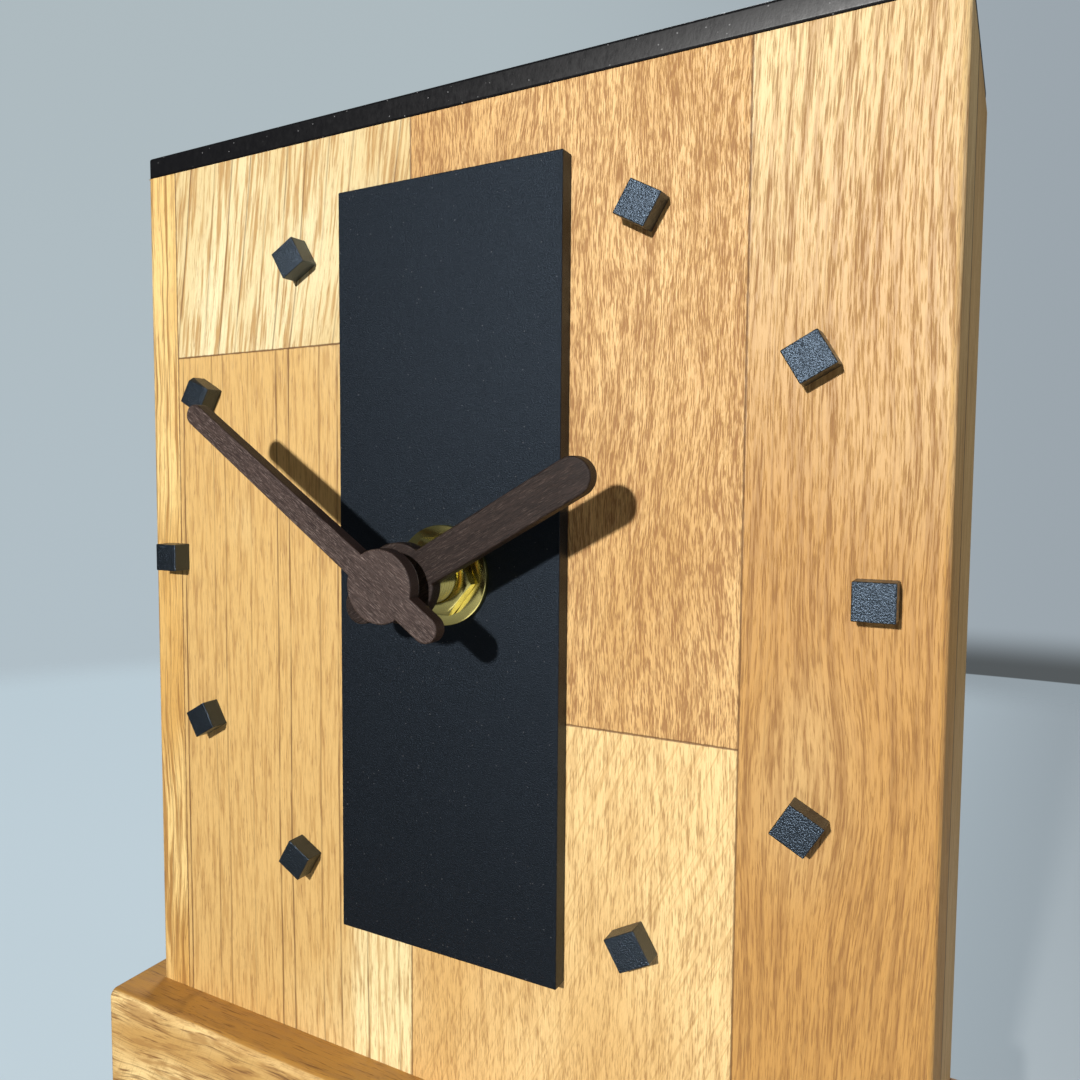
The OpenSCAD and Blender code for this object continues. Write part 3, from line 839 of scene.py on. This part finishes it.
def show(bm: bmesh.types.BMesh, name: str, nodes: Sequence[str], material: bpy.types.Material,
         radius: float = 0.0, segments: int = 3, mended: bool = False) -> bpy.types.Object:
    """Turns a mesh into a piece that stands for CAD nodes.

    Args:
        bm: The mesh, in the row frame; it is freed.
        name: The piece's name.
        nodes: The CAD nodes that it stands for; it moves with the first one's body.
        material: The piece's finish.
        radius: Biggest bevel in millimetres, on edges that carry a bevel weight.
        segments: Faces across a bevel.
        mended: Whether doubles are merged and the normals worked out again.

    Returns:
        The piece.
    """
    if mended:
        bmesh.ops.remove_doubles(bm, verts=bm.verts, dist=SPUN_DOUBLES)
        bmesh.ops.recalc_face_normals(bm, faces=bm.faces)
    for face in bm.faces:
        face.smooth = True
    mesh = bpy.data.meshes.new(name)
    bm.to_mesh(mesh)
    bm.free()
    mesh.materials.append(material)
    piece = bpy.data.objects.new(name, mesh)
    bpy.context.scene.collection.objects.link(piece)
    if radius > 0:
        bevel = piece.modifiers.new("softened", "BEVEL")
        bevel.limit_method = "WEIGHT"
        bevel.width = radius * MM
        bevel.segments = segments
        flat = piece.modifiers.new("flat_faces", "WEIGHTED_NORMAL")
        flat.keep_sharp = True
        flat.weight = 100
    elif mended:
        mesh.set_sharp_from_angle(angle=CREASE_BEND)
    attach(piece, BODIES[nodes[0]])
    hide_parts(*nodes)
    log.info("%s stands for %s", name, ", ".join(nodes))
    return piece


def remade(node: str, material: bpy.types.Material, radius: float = 0.1,
           segments: int = 2) -> bpy.types.Object:
    """A piece copied from its CAD node, with every sharp edge softened alike.

    Args:
        node: The CAD node.
        material: The piece's finish.
        radius: Radius of its edges in millimetres.
        segments: Faces across an edge.

    Returns:
        The piece.
    """
    bm = copied(node)
    biggest = soften(bm, lambda edge: radius)
    return show(bm, f"{node}_finished", [node], material, biggest, segments)


def turned(outline: Sequence[tuple[float, float]], axis: Vector, along: Vector,
           segments: int = 72) -> bmesh.types.BMesh:
    """A closed outline spun about an axis.

    Args:
        outline: Radius and place along the axis of each corner, in millimetres.
        axis: A point on the axis, in metres.
        along: Direction of the axis.
        segments: Faces round it.

    Returns:
        The mesh.
    """
    bm = bmesh.new()
    out = along.orthogonal().normalized()
    corners = [bm.verts.new(axis + out * r * MM + along * d * MM) for r, d in outline]
    edges = [bm.edges.new((a, b)) for a, b in zip(corners, corners[1:] + corners[:1])]
    bmesh.ops.spin(bm, geom=corners + edges, cent=axis, axis=along, angle=math.tau,
                   steps=segments, use_merge=True)
    return bm


@dataclass
class Layout:
    """Places read from the CAD frame, in metres."""

    front: float = field(default_factory=lambda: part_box("stave_left")[0].y)
    washer: tuple[Vector, Vector] = field(default_factory=lambda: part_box("dial_washer"))

    @property
    def dial(self) -> Vector:
        """Centre of the dial on the front of the panel."""
        middle = (self.washer[0] + self.washer[1]) / 2
        return Vector((middle.x, self.front, middle.z))

    @property
    def arbor(self) -> Vector:
        """A point on the hands' axis."""
        return Vector((self.dial.x, 0, self.dial.z))


class Finishes:
    """The finishes that pieces share."""

    def __init__(self) -> None:
        """Builds the materials."""
        self.plate = Powder("plate_black").material()
        self.cube = Powder("cube_black", painted_pebble_glint=(0.005, 0.006, 0.007), specular=0.95,
                           grain=0.20, depth=0.14, roughness=0.33).material()
        self.lacquer = Lacquer("strip_black").material()
        self.brass = Metal("turned_brass", (0.80, 0.70, 0.25), 0.12,
                           mark_depth=0.0015).material()
        self.bright = Metal("bright_steel", (0.72, 0.71, 0.69), 0.22).material()
        self.zinc = Metal("zinc_plate", (0.60, 0.62, 0.64), 0.32).material()
        self.spring_steel = Metal("nickel_spring", (0.66, 0.63, 0.57), 0.24).material()
        self.spring_brass = Metal("spring_brass", (0.72, 0.52, 0.22), 0.25).material()
        self.iron = Metal("soft_iron", (0.42, 0.42, 0.43), 0.38).material()
        self.copper = Metal("copper_wire", (0.78, 0.36, 0.18), 0.30, (0.3, 9.0, 9.0),
                            0.05).material()
        self.rubber = Moulded("black_rubber", (0.018, 0.018, 0.019), 0.75).material()
        self.felt = Felt("grey_felt", (0.030, 0.028, 0.026)).material()
        self.case = Moulded("case_black", (0.016, 0.016, 0.018), 0.46).material()
        self.wheel = Moulded("wheel_white", (0.70, 0.68, 0.62), 0.36).material()
        self.bobbin = Moulded("bobbin_ivory", (0.62, 0.55, 0.40), 0.42).material()
        self.knob = Moulded("knob_white", (0.66, 0.65, 0.62), 0.40).material()
        self.board = Moulded("board_green", (0.015, 0.13, 0.045), 0.30).material()
        self.epoxy = Moulded("chip_black", (0.012, 0.012, 0.012), 0.30).material()
        self.sleeve = Sleeve("cell_sleeve", "battery_cell").material()


@dataclass
class Plinth:
    """The oak base with its screws and felt feet."""

    end_round: float = 1.0
    sole_round: float = 0.5
    hole_edge: float = 0.15
    # The darker tone from shade_z covers the plinth's top face: painted shade on the ledge.
    oak: Oak = Oak("plinth_oak", (0.97, 0.72, 0.33), (0.50, 0.26, 0.055), (0.42, 0.22, 0.065),
                   (0.20, 0.09, 0.025), slant=0.05, wander=7.0, wander_length=34.0,
                   streak_width=1.6, streak_length=9.0, streak_strength=0.7, fleck_width=0.30,
                   fleck_length=6.0, fleck_share=0.22, fleck_strength=0.85, line_gap=4.0,
                   line_width=0.22, line_strength=0.7, ray_slant=1.1, ray_length=5.0,
                   ray_strength=0.35, shade_z=(27.0, 27.4, 1.0), grain=Grain.LEVEL)

    def build(self, finishes: Finishes) -> None:
        """Makes every piece.

        Args:
            finishes: The shared finishes.
        """
        low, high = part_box("base")
        bm = copied("base")

        def radius(edge: bmesh.types.BMEdge) -> float:
            """Rounds the ends most, then the sole's rim.

            Args:
                edge: An edge.

            Returns:
                Its radius in millimetres.
            """
            side = side_of(edge, low, high)
            if side[0] != 0:
                return self.end_round
            return self.sole_round if side == (0, side[1], -1) and side[1] else self.hole_edge

        show(bm, "oak_plinth", ["base"], self.oak.material(), soften(bm, radius), 4)
        for node in ("foot_front_left", "foot_front_right", "foot_rear_left", "foot_rear_right"):
            remade(node, finishes.felt, 0.35, 3)
        remade("base_screws", finishes.zinc, 0.15, 2)


@dataclass
class Panel:
    """The upright panel of glued oak staves under its black strip."""

    arris: float = 1.0
    joint: float = 0.06
    strip_round: float = 0.5

    def stave(self, node: str, oak: Oak, rounds: dict[Side, float]) -> None:
        """One stave with its own figure.

        Args:
            node: The CAD node.
            oak: Its oak.
            rounds: Radius of some of its edges; the others get a hairline.
        """
        low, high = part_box(node)
        bm = copied(node)
        biggest = soften(bm, lambda edge: rounds.get(side_of(edge, low, high), self.joint))
        show(bm, f"{node}_board", [node], oak.material(), biggest, 4)

    def boards(self, left: dict[Side, float],
               right: dict[Side, float]) -> list[tuple[str, dict[Side, float], Oak]]:
        """The front staves, from left to right.

        Args:
            left: Rounded edges of the leftmost stave.
            right: Rounded edges of the rightmost stave.

        Returns:
            Node, rounded edges and oak of each stave.
        """
        low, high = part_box("stave_mid_left_lower")
        first, second, upper = low.x / MM, high.x / MM, high.z / MM
        low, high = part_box("stave_mid_right_lower")
        third, lower, behind = high.x / MM, high.z / MM, high.y / MM
        return [
            ("stave_left", left, Oak(
                "left_oak", (0.92, 0.66, 0.27), (0.64, 0.35, 0.085), (0.40, 0.20, 0.05),
                (0.28, 0.13, 0.035), shift=(11.0, 4.0, 30.0), wander=5.0, wander_length=30.0,
                streak_width=0.7, streak_length=24.0, streak_strength=0.9, fleck_share=0.2,
                line_gap=2.2, line_width=0.20, line_strength=0.8, glue_x=(first,),
                glue_y=behind)),
            ("stave_mid_left_upper", {}, Oak(
                "pale_upper_oak", (0.90, 0.80, 0.49), (0.72, 0.55, 0.26), (0.50, 0.29, 0.10),
                (0.34, 0.17, 0.05), slant=-0.13, shift=(40.0, 9.0, 0.0), wander=4.0,
                streak_width=0.75, streak_length=14.0, streak_strength=0.9, fleck_width=0.2,
                fleck_length=2.0, fleck_share=0.12, fleck_strength=0.5, line_gap=4.6,
                line_width=0.28, line_strength=1.0, shade_x=(-50.0, -12.0, 0.35),
                glue_x=(first, second), glue_z=(upper,))),
            ("stave_mid_left_lower", {}, Oak(
                "golden_oak", (0.94, 0.80, 0.44), (0.71, 0.46, 0.170), (0.46, 0.25, 0.075),
                (0.30, 0.14, 0.04), shift=(-25.0, 3.0, 9.0), wander=2.5, wander_length=90.0,
                streak_width=0.7, streak_length=10.0, streak_strength=0.6, fleck_width=0.25,
                fleck_length=2.5, fleck_share=0.15, fleck_strength=0.5, line_gap=5.0,
                line_width=0.30, line_strength=1.0, shade_x=(-19.0, -22.0, 0.60),
                glue_x=(first, second), glue_z=(upper,))),
            ("stave_mid_right_upper", {}, Oak(
                "flecked_oak", (0.82, 0.52, 0.21), (0.63, 0.36, 0.115), (0.46, 0.23, 0.065),
                (0.29, 0.125, 0.036), shift=(5.0, 30.0, -12.0), wander=7.0, wander_length=45.0,
                streak_width=1.1, streak_length=14.0, streak_strength=0.4, fleck_width=0.14,
                fleck_length=1.7, fleck_share=0.68, fleck_strength=0.80, ray_slant=-0.40,
                ray_length=12.0, ray_strength=0.25, ray=(0.90, 0.62, 0.29),
                glue_x=(second, third), glue_z=(lower,))),
            ("stave_mid_right_lower", {}, Oak(
                "figured_oak", (0.94, 0.68, 0.32), (0.72, 0.45, 0.165), (0.50, 0.28, 0.085),
                (0.36, 0.18, 0.055), shift=(15.0, -5.0, 70.0), wander=6.0, streak_width=1.0,
                streak_length=14.0, streak_strength=0.3, fleck_width=0.16, fleck_length=2.0,
                fleck_share=0.40, fleck_strength=0.70, ray_slant=-0.42, ray_length=20.0,
                ray_strength=0.5, ray=(0.56, 0.33, 0.11), shade_x=(26.0, 6.0, 0.5),
                glue_x=(second, third), glue_z=(lower,))),
            ("stave_right", right, Oak(
                "swirled_oak", (0.86, 0.66, 0.33), (0.58, 0.31, 0.086), (0.37, 0.18, 0.048),
                (0.24, 0.10, 0.028), shift=(0.0, 12.0, 0.0), wander=9.0, wander_length=120.0,
                streak_width=0.8, streak_length=22.0, streak_strength=0.6, fleck_width=0.17,
                fleck_length=3.2, fleck_share=0.40, fleck_strength=0.6, line_gap=7.0,
                line_width=0.18, line_strength=0.35, ray_slant=-0.25, ray_length=8.0,
                ray_strength=0.2, knot=(51.0, -12.0, 88.0), knot_size=9.0, knot_push=2.8,
                shade_x=(50.0, 62.0, 0.35), shade_z=(180.0, 95.0, 0.60), glue_x=(third,),
                glue_y=behind)),
        ]

    def build(self, finishes: Finishes) -> None:
        """Makes every piece.

        Args:
            finishes: The shared finishes.
        """
        left, right = {(-1, -1, 0): self.arris}, {(1, -1, 0): self.arris}
        back_left, back_right = {(-1, 1, 0): self.arris}, {(1, 1, 0): self.arris}
        for node, rounds, oak in self.boards(left, right):
            self.stave(node, oak, rounds)
        for node, rounds, turn in (("rear_stave_left", back_left, 0.0),
                                   ("rear_stave_middle", {}, 33.0),
                                   ("rear_stave_right", back_right, 71.0)):
            self.stave(node, Oak(
                f"{node}_oak", (0.66, 0.42, 0.17), (0.54, 0.31, 0.10), (0.40, 0.21, 0.06),
                (0.22, 0.10, 0.03), shift=(turn, 8.0, turn), wander=6.0, streak_strength=0.5,
                fleck_share=0.30, fleck_strength=0.45, line_strength=0.4, line_gap=6.0,
                glue_x=tuple(corner.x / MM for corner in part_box("rear_stave_middle")),
                glue_y=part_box(node)[0].y / MM), rounds)
        low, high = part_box("top_strip")
        bm = copied("top_strip")

        def radius(edge: bmesh.types.BMEdge) -> float:
            """Rounds the strip's front and its upper rim.

            Args:
                edge: An edge.

            Returns:
                Its radius in millimetres.
            """
            _, depth, height = side_of(edge, low, high)
            return self.strip_round if depth == -1 or height == 1 else self.joint

        show(bm, "black_strip", ["top_strip"], finishes.lacquer, soften(bm, radius), 3)


@dataclass
class Dial:
    """The black plate, the cube markers and the brass round the hands' arbor."""

    layout: Layout
    plate_round: float = 0.22
    cube_hours: tuple[int, ...] = (1, 2, 3, 4, 5, 7, 8, 9, 10, 11)
    cube_round: float = 0.16
    cube_bend: float = 15.0
    chipped_hour: int = 10
    chip_depth: float = 0.55
    chip_corner: Triple = (0.5, -0.9, 1.0)
    chip_way: Triple = (0.35, -0.8, 0.9)
    washer_bore: float = 4.15
    washer_edge: float = 0.22
    nut_flats: float = 11.0
    nut_turn: float = -8.0
    nut_chamfer: float = 5.45
    nut_slope: float = 30.0
    nut_bore: float = 4.02
    nut_lip: float = 0.12
    nut_steps: int = 12
    stem_radius: float = 4.0
    stem_bore: float = 2.63
    thread_pitch: float = 0.75
    thread_depth: float = 0.38
    thread_reach: float = 17.0

    def plate(self, finishes: Finishes) -> None:
        """The raised plate with its softened rim.

        Args:
            finishes: The shared finishes.
        """
        bm = copied("face_plate")
        biggest = soften(bm, lambda edge: self.plate_round)
        show(bm, "plate", ["face_plate"], finishes.plate, biggest, 3)

    def chip(self, bm: bmesh.types.BMesh) -> None:
        """Breaks off a cube's upper front corner.

        Args:
            bm: The cube's mesh.
        """
        toward = Vector(self.chip_corner)
        tip = max(bm.verts, key=lambda vert: vert.co.dot(toward))
        cut = Vector(self.chip_way).normalized()
        ends = bmesh.ops.bisect_plane(bm, geom=bm.verts[:] + bm.edges[:] + bm.faces[:],
                                      plane_co=tip.co - cut * self.chip_depth * MM, plane_no=cut,
                                      clear_outer=True)["geom_cut"]
        rim = [end for end in ends if isinstance(end, bmesh.types.BMEdge)]
        bmesh.ops.contextual_create(bm, geom=rim)

    def cubes(self, finishes: Finishes) -> None:
        """The ten cubes, one of them with a broken corner.

        Args:
            finishes: The shared finishes.
        """
        for hour in self.cube_hours:
            node = f"hour_marker_{hour}"
            bm = copied(node)
            if hour == self.chipped_hour:
                self.chip(bm)
            biggest = soften(bm, lambda edge: self.cube_round, self.cube_bend)
            show(bm, f"cube_{hour}", [node], finishes.cube, biggest, 2)

    def washer(self, finishes: Finishes) -> None:
        """The thin washer under the nut.

        Args:
            finishes: The shared finishes.
        """
        low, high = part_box("dial_washer")
        radius, near, far = (high.x - low.x) / 2 / MM, low.y / MM, high.y / MM
        bore, edge = self.washer_bore, self.washer_edge
        bm = turned([(bore, near + 0.05), (bore + 0.1, near), (radius - edge, near),
                     (radius - 0.06, near + 0.08), (radius, near + edge), (radius, far - 0.1),
                     (radius - 0.1, far), (bore, far)],
                    self.layout.arbor, BACKWARDS, 96)
        show(bm, "brass_washer", ["dial_washer"], finishes.brass, mended=True)

    def nut(self, finishes: Finishes) -> None:
        """The hex nut, its corners cut by a cone on both sides.

        Args:
            finishes: The shared finishes.
        """
        low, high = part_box("hex_nut")
        near, far = low.y, high.y
        slope = math.tan(math.radians(self.nut_slope))
        bm = bmesh.new()

        def ring(radius_at: Callable[[float], float],
                 y_at: Callable[[float], float]) -> list[bmesh.types.BMEdge]:
            """Lays one ring of corners round the nut.

            Args:
                radius_at: Radius in millimetres, from the hexagon's own radius there.
                y_at: Place along Y in metres, from that radius.

            Returns:
                The ring's edges.
            """
            verts = bmesh.ops.create_circle(bm, segments=6 * self.nut_steps, radius=1.0)["verts"]
            for index, vert in enumerate(verts):
                angle = index / self.nut_steps * math.pi / 3
                flat = math.cos((angle % (math.pi / 3)) - math.pi / 6)
                radius = radius_at(self.nut_flats / 2 / flat) * MM
                turn = angle + math.radians(self.nut_turn)
                vert.co = (self.layout.dial.x + radius * math.cos(turn),
                           y_at(radius / MM), self.layout.dial.z + radius * math.sin(turn))
            own = set(verts)
            return [edge for edge in bm.edges if own.issuperset(edge.verts)]

        def drop(radius: float) -> float:
            """How far the cone has cut back at a radius."""
            return max(0.0, radius - self.nut_chamfer) * slope * MM

        bore, lip = self.nut_bore, self.nut_lip
        rings = [
            ring(lambda r: bore, lambda r: near + lip * MM),
            ring(lambda r: bore + lip, lambda r: near),
            ring(lambda r: self.nut_chamfer, lambda r: near),
            ring(lambda r: r, lambda r: near + drop(r)),
            ring(lambda r: r, lambda r: far - drop(r)),
            ring(lambda r: self.nut_chamfer, lambda r: far),
            ring(lambda r: bore + lip, lambda r: far),
            ring(lambda r: bore, lambda r: far - lip * MM),
        ]
        for first, second in zip(rings, rings[1:] + rings[:1]):
            bmesh.ops.bridge_loops(bm, edges=first + second)
        show(bm, "brass_nut", ["hex_nut"], finishes.brass, mended=True)

    def stem(self, finishes: Finishes) -> None:
        """The stem, threaded as far as the panel, with its flange inside the movement.

        Args:
            finishes: The shared finishes.
        """
        low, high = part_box("threaded_stem")
        outer, bore, pitch = self.stem_radius, self.stem_bore, self.thread_pitch
        root, crest, lip, flange_depth = outer - self.thread_depth, outer - 0.04, 0.25, 1.0
        front, back = low.y / MM, high.y / MM
        flange = (high.x - low.x) / 2 / MM
        thread_end = self.layout.dial.y / MM + self.thread_reach
        outline = [(bore, front + lip), (bore + lip, front), (root, front)]
        place = front + 0.1
        while place + pitch < thread_end:
            outline += [(root, place), (crest, place + pitch * 0.42), (crest, place + pitch * 0.58)]
            place += pitch
        outline += [(root, place), (outer, place + 0.4), (outer, back - flange_depth),
                    (flange, back - flange_depth), (flange, back), (bore, back)]
        bm = turned(outline, self.layout.arbor, BACKWARDS, 64)
        show(bm, "threaded_bush", ["threaded_stem"], finishes.brass, mended=True)

    def build(self, finishes: Finishes) -> None:
        """Makes every piece.

        Args:
            finishes: The shared finishes.
        """
        self.plate(finishes)
        self.cubes(finishes)
        self.washer(finishes)
        self.nut(finishes)
        self.stem(finishes)
        remade("gasket", finishes.rubber, 0.2)


@dataclass
class Hands:
    """The two wooden hands on their metal bushes."""

    layout: Layout
    front_round: float = 0.32
    rear_round: float = 0.12
    blade_bend: float = 40.0
    minute_angle: float = 305.9
    hour_angle: float = 59.8
    hour_shades: tuple[Colour, ...] = ((0.034, 0.021, 0.017), (0.009, 0.005, 0.004),
                                       (0.130, 0.096, 0.082))

    def hand(self, node: str, angle: float, *shades: Colour) -> None:
        """One hand, its grain along it.

        Args:
            node: The CAD node.
            angle: Degrees clockwise from twelve.
            shades: Its wood's face, deep and pore colours, if they aren't the usual ones.
        """
        low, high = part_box(node)
        bm = copied(node)

        def radius(edge: bmesh.types.BMEdge) -> float:
            """Rounds the front rim more than the rear one.

            Args:
                edge: An edge.

            Returns:
                Its radius in millimetres.
            """
            side = side_of(edge, low, high)[1]
            return self.front_round if side == -1 else self.rear_round if side == 1 else 0.0

        centre = tuple(c / MM for c in self.layout.dial)
        wood = DarkWood(f"{node}_wood", math.radians(angle), centre, *shades)
        biggest = soften(bm, radius, self.blade_bend)
        show(bm, f"{node}_blade", [node], wood.material(), biggest, 3)

    def build(self, finishes: Finishes) -> None:
        """Makes every piece.

        Args:
            finishes: The shared finishes.
        """
        self.hand("hour_hand", self.hour_angle, *self.hour_shades)
        self.hand("minute_hand", self.minute_angle)
        remade("hour_hand_bush", finishes.bright, 0.08)
        remade("minute_hand_bush", finishes.bright, 0.08)


@dataclass
class Movement:
    """The quartz movement in its pocket."""

    wheels: tuple[str, ...] = ("rotor", "fifth_wheel", "seconds_wheel", "third_wheel",
                               "centre_wheel", "motion_wheel", "hour_wheel")
    tooth_round: float = 0.05

    def build(self, finishes: Finishes) -> None:
        """Makes every piece.

        Args:
            finishes: The shared finishes.
        """
        remade("movement_case", finishes.case, 0.35, 3)
        remade("movement_cover", finishes.case, 0.25, 3)
        remade("gear_bridge", finishes.wheel, 0.12)
        for wheel in self.wheels:
            remade(wheel, finishes.wheel, self.tooth_round, 1)
        remade("setting_knob", finishes.knob, 0.15)
        remade("minute_pipe", finishes.spring_brass, 0.05, 1)
        remade("clutch_spring", finishes.spring_brass, 0.03, 1)
        remade("battery_cell", finishes.sleeve, 0.5, 4)
        remade("positive_contact", finishes.spring_steel, 0.1)
        remade("negative_contact", finishes.spring_steel, 0.06, 1)
        remade("circuit_board", finishes.board, 0.06, 1)
        remade("quartz_crystal", finishes.bright, 0.2, 3)
        remade("timing_chip", finishes.epoxy, 0.3, 3)
        remade("coil_core", finishes.iron, 0.05, 1)
        remade("coil_bobbin", finishes.bobbin, 0.08, 1)
        remade("coil_winding", finishes.copper, 0.1)
        remade("stator_plate", finishes.iron, 0.05, 1)


@dataclass
class Studio:
    """Floor, lights and camera."""

    floor_radius: float = 0.56
    floor_fade: float = 0.10
    camera_place: Triple = (0.074306, -0.148045, 0.129334)
    camera_turn: Triple = (-3.995, 33.449, -0.229)
    lens: float = 32.357
    sensor_width: float = 36.0
    shift: tuple[float, float] = (0.1462, -0.0008)
    key_power: float = 26.0
    key_place: Triple = (0.010, -0.714, 0.318)
    key_size: float = 0.014
    key_colour: Colour = (1.0, 0.985, 0.96)
    glow_power: float = 0.022
    glow_place: Triple = (0.012, -0.133, 0.008)
    glow_aim: Triple = (0.0, -0.03, 0.113)
    glow_size: float = 0.08
    glow_colour: Colour = (1.0, 0.99, 0.95)
    # Base and glow colours near and to the right; the dimmer glow to the right is painted shadow.
    floor_near: tuple[Colour, Colour] = ((0.15, 0.16, 0.165), (0.40, 0.50, 0.56))
    floor_aside: tuple[Colour, Colour] = ((0.30, 0.32, 0.33), (0.14, 0.18, 0.21))
    wall_low: Colour = (0.44, 0.52, 0.57)
    wall_high: Colour = (0.42, 0.49, 0.52)
    wall_aside: Colour = (0.33, 0.38, 0.42)
    # A painted shadow along the foot of the wall, right of the clock.
    painted_shadow_band: Colour = (0.09, 0.10, 0.105)
    far_floor: Colour = (0.29, 0.34, 0.375)
    glint_low: Colour = (0.02, 0.02, 0.02)
    glint_high: Colour = (0.07, 0.076, 0.085)
    fill: Colour = (0.042, 0.024, 0.008)

    def floor(self) -> None:
        """A pale round floor that fades into the backdrop; its camera-only glow dims towards the
        right as a painted shadow.
        """
        bm = bmesh.new()
        bmesh.ops.create_circle(bm, cap_ends=True, radius=self.floor_radius, segments=96)
        mesh = bpy.data.meshes.new("floor")
        bm.to_mesh(mesh)
        bm.free()
        made, g, shader, place = new_material("pale_floor")
        shader.inputs["Roughness"].default_value = 0.8
        shader.inputs["Specular IOR Level"].default_value = 0.2
        seen = g.add("ShaderNodeLightPath").outputs["Is Camera Ray"]
        # The glow dims towards the right: painted shadow.
        shade = g.step(g.parts(place)[0], -60.0, 140.0)
        for name, near, aside in zip(("Base Color", "Emission Color"), self.floor_near,
                                     self.floor_aside):
            g.put(shader.inputs[name], g.mix(shade, near, aside))
        g.put(shader.inputs["Emission Strength"], seen)
        edge = self.floor_radius / MM
        reach = g.vector("LENGTH", g.mapped(place))
        g.put(shader.inputs["Alpha"], g.step(reach, edge - self.floor_fade / MM, edge, 1.0, 0.0))
        mesh.materials.append(made)
        floor = bpy.data.objects.new("floor", mesh)
        bpy.context.scene.collection.objects.link(floor)

    def lamp(self, name: str, direction: Triple, power: float, angle: float,
             colour: Colour) -> None:
        """A distant light.

        Args:
            name: Its name.
            direction: The way its light travels.
            power: Its strength.
            angle: How wide it is, in degrees.
            colour: Its colour.
        """
        light = bpy.data.lights.new(name, "SUN")
        light.energy, light.angle, light.color = power, math.radians(angle), colour
        hung = bpy.data.objects.new(name, light)
        hung.rotation_euler = Vector(direction).to_track_quat("-Z", "Y").to_euler()
        bpy.context.scene.collection.objects.link(hung)

    def glow(self) -> None:
        """A small lit patch of the table, which the brass mirrors."""
        light = bpy.data.lights.new("glow", "AREA")
        light.size, light.energy, light.color = self.glow_size, self.glow_power, self.glow_colour
        glow = bpy.data.objects.new("glow", light)
        glow.location = self.glow_place
        aim = Vector(self.glow_aim) - glow.location
        glow.rotation_euler = aim.to_track_quat("-Z", "Y").to_euler()
        glow.visible_camera = False
        bpy.context.scene.collection.objects.link(glow)

    def lights(self) -> None:
        """A small key light in front, and softer ones beside and behind."""
        bulb = bpy.data.lights.new("key", "POINT")
        bulb.energy, bulb.shadow_soft_size = self.key_power, self.key_size
        bulb.color = self.key_colour
        key = bpy.data.objects.new("key", bulb)
        key.location = self.key_place
        bpy.context.scene.collection.objects.link(key)
        self.glow()
        self.lamp("side", (-1.0, -0.08, -0.12), 1.1, 25.0, (0.84, 0.93, 1.0))
        self.lamp("rear", (0.25, -1.0, -0.75), 1.6, 20.0, (0.96, 0.97, 1.0))

    def surround(self) -> None:
        """A pale wall and a far floor for the camera with a painted shadow band where they meet on
        the right, and dimmer ones for glints and fill.
        """
        world = bpy.data.worlds.new("surround")
        world.use_nodes = True
        g = Graph(world.node_tree)
        back = world.node_tree.nodes["Background"]
        across, _, height = g.parts(g.add("ShaderNodeTexCoord").outputs["Generated"])
        wall = g.mix(g.step(height, -0.25, 0.55), self.wall_low, self.wall_high)
        aside = g.mix(g.step(across, -0.45, 0.05), wall, self.wall_aside)
        right = g.step(across, -0.35, -0.10)
        # A dark band low on the right, where floor meets wall: painted shadow.
        shadow_band_mask = g.math("MULTIPLY", g.step(height, -0.135, -0.170), right)
        far = g.math("MULTIPLY", g.step(height, -0.1785, -0.1795), right)
        seen = g.mix(far, g.mix(shadow_band_mask, aside, self.painted_shadow_band), self.far_floor)
        glint = g.mix(g.step(height, -0.3, 0.6), self.glint_low, self.glint_high)
        path = g.add("ShaderNodeLightPath").outputs
        lit = g.mix(path["Is Diffuse Ray"], glint, self.fill)
        g.put(back.inputs["Color"], g.mix(path["Is Camera Ray"], lit, seen))
        bpy.context.scene.world = world

    def camera(self) -> None:
        """The camera, left of the clock's axis and level with the dial."""
        data = bpy.data.cameras.new("camera")
        data.lens = self.lens
        data.sensor_width = self.sensor_width
        data.shift_x, data.shift_y = self.shift
        data.clip_start = 0.005
        camera = bpy.data.objects.new("camera", data)
        pitch, yaw, roll = (math.radians(a) for a in self.camera_turn)
        camera.matrix_world = (Matrix.Translation(self.camera_place)
                               @ Matrix.Rotation(yaw, 4, "Z")
                               @ Matrix.Rotation(math.pi / 2 + pitch, 4, "X")
                               @ Matrix.Rotation(roll, 4, "Z"))
        bpy.context.scene.collection.objects.link(camera)
        bpy.context.scene.camera = camera

    def build(self) -> None:
        """Makes the floor, the lights, the surround and the camera."""
        self.floor()
        self.lights()
        self.surround()
        self.camera()
        bpy.context.scene.view_settings.view_transform = "Standard"
        log.info("studio is set")


def main() -> None:
    """Builds the clock and its studio."""
    logging.basicConfig(level=logging.INFO, format="%(name)s: %(message)s")
    layout = Layout()
    finishes = Finishes()
    Plinth().build(finishes)
    Panel().build(finishes)
    Dial(layout).build(finishes)
    Hands(layout).build(finishes)
    Movement().build(finishes)
    Studio().build()


if __name__ == "__main__":
    main()
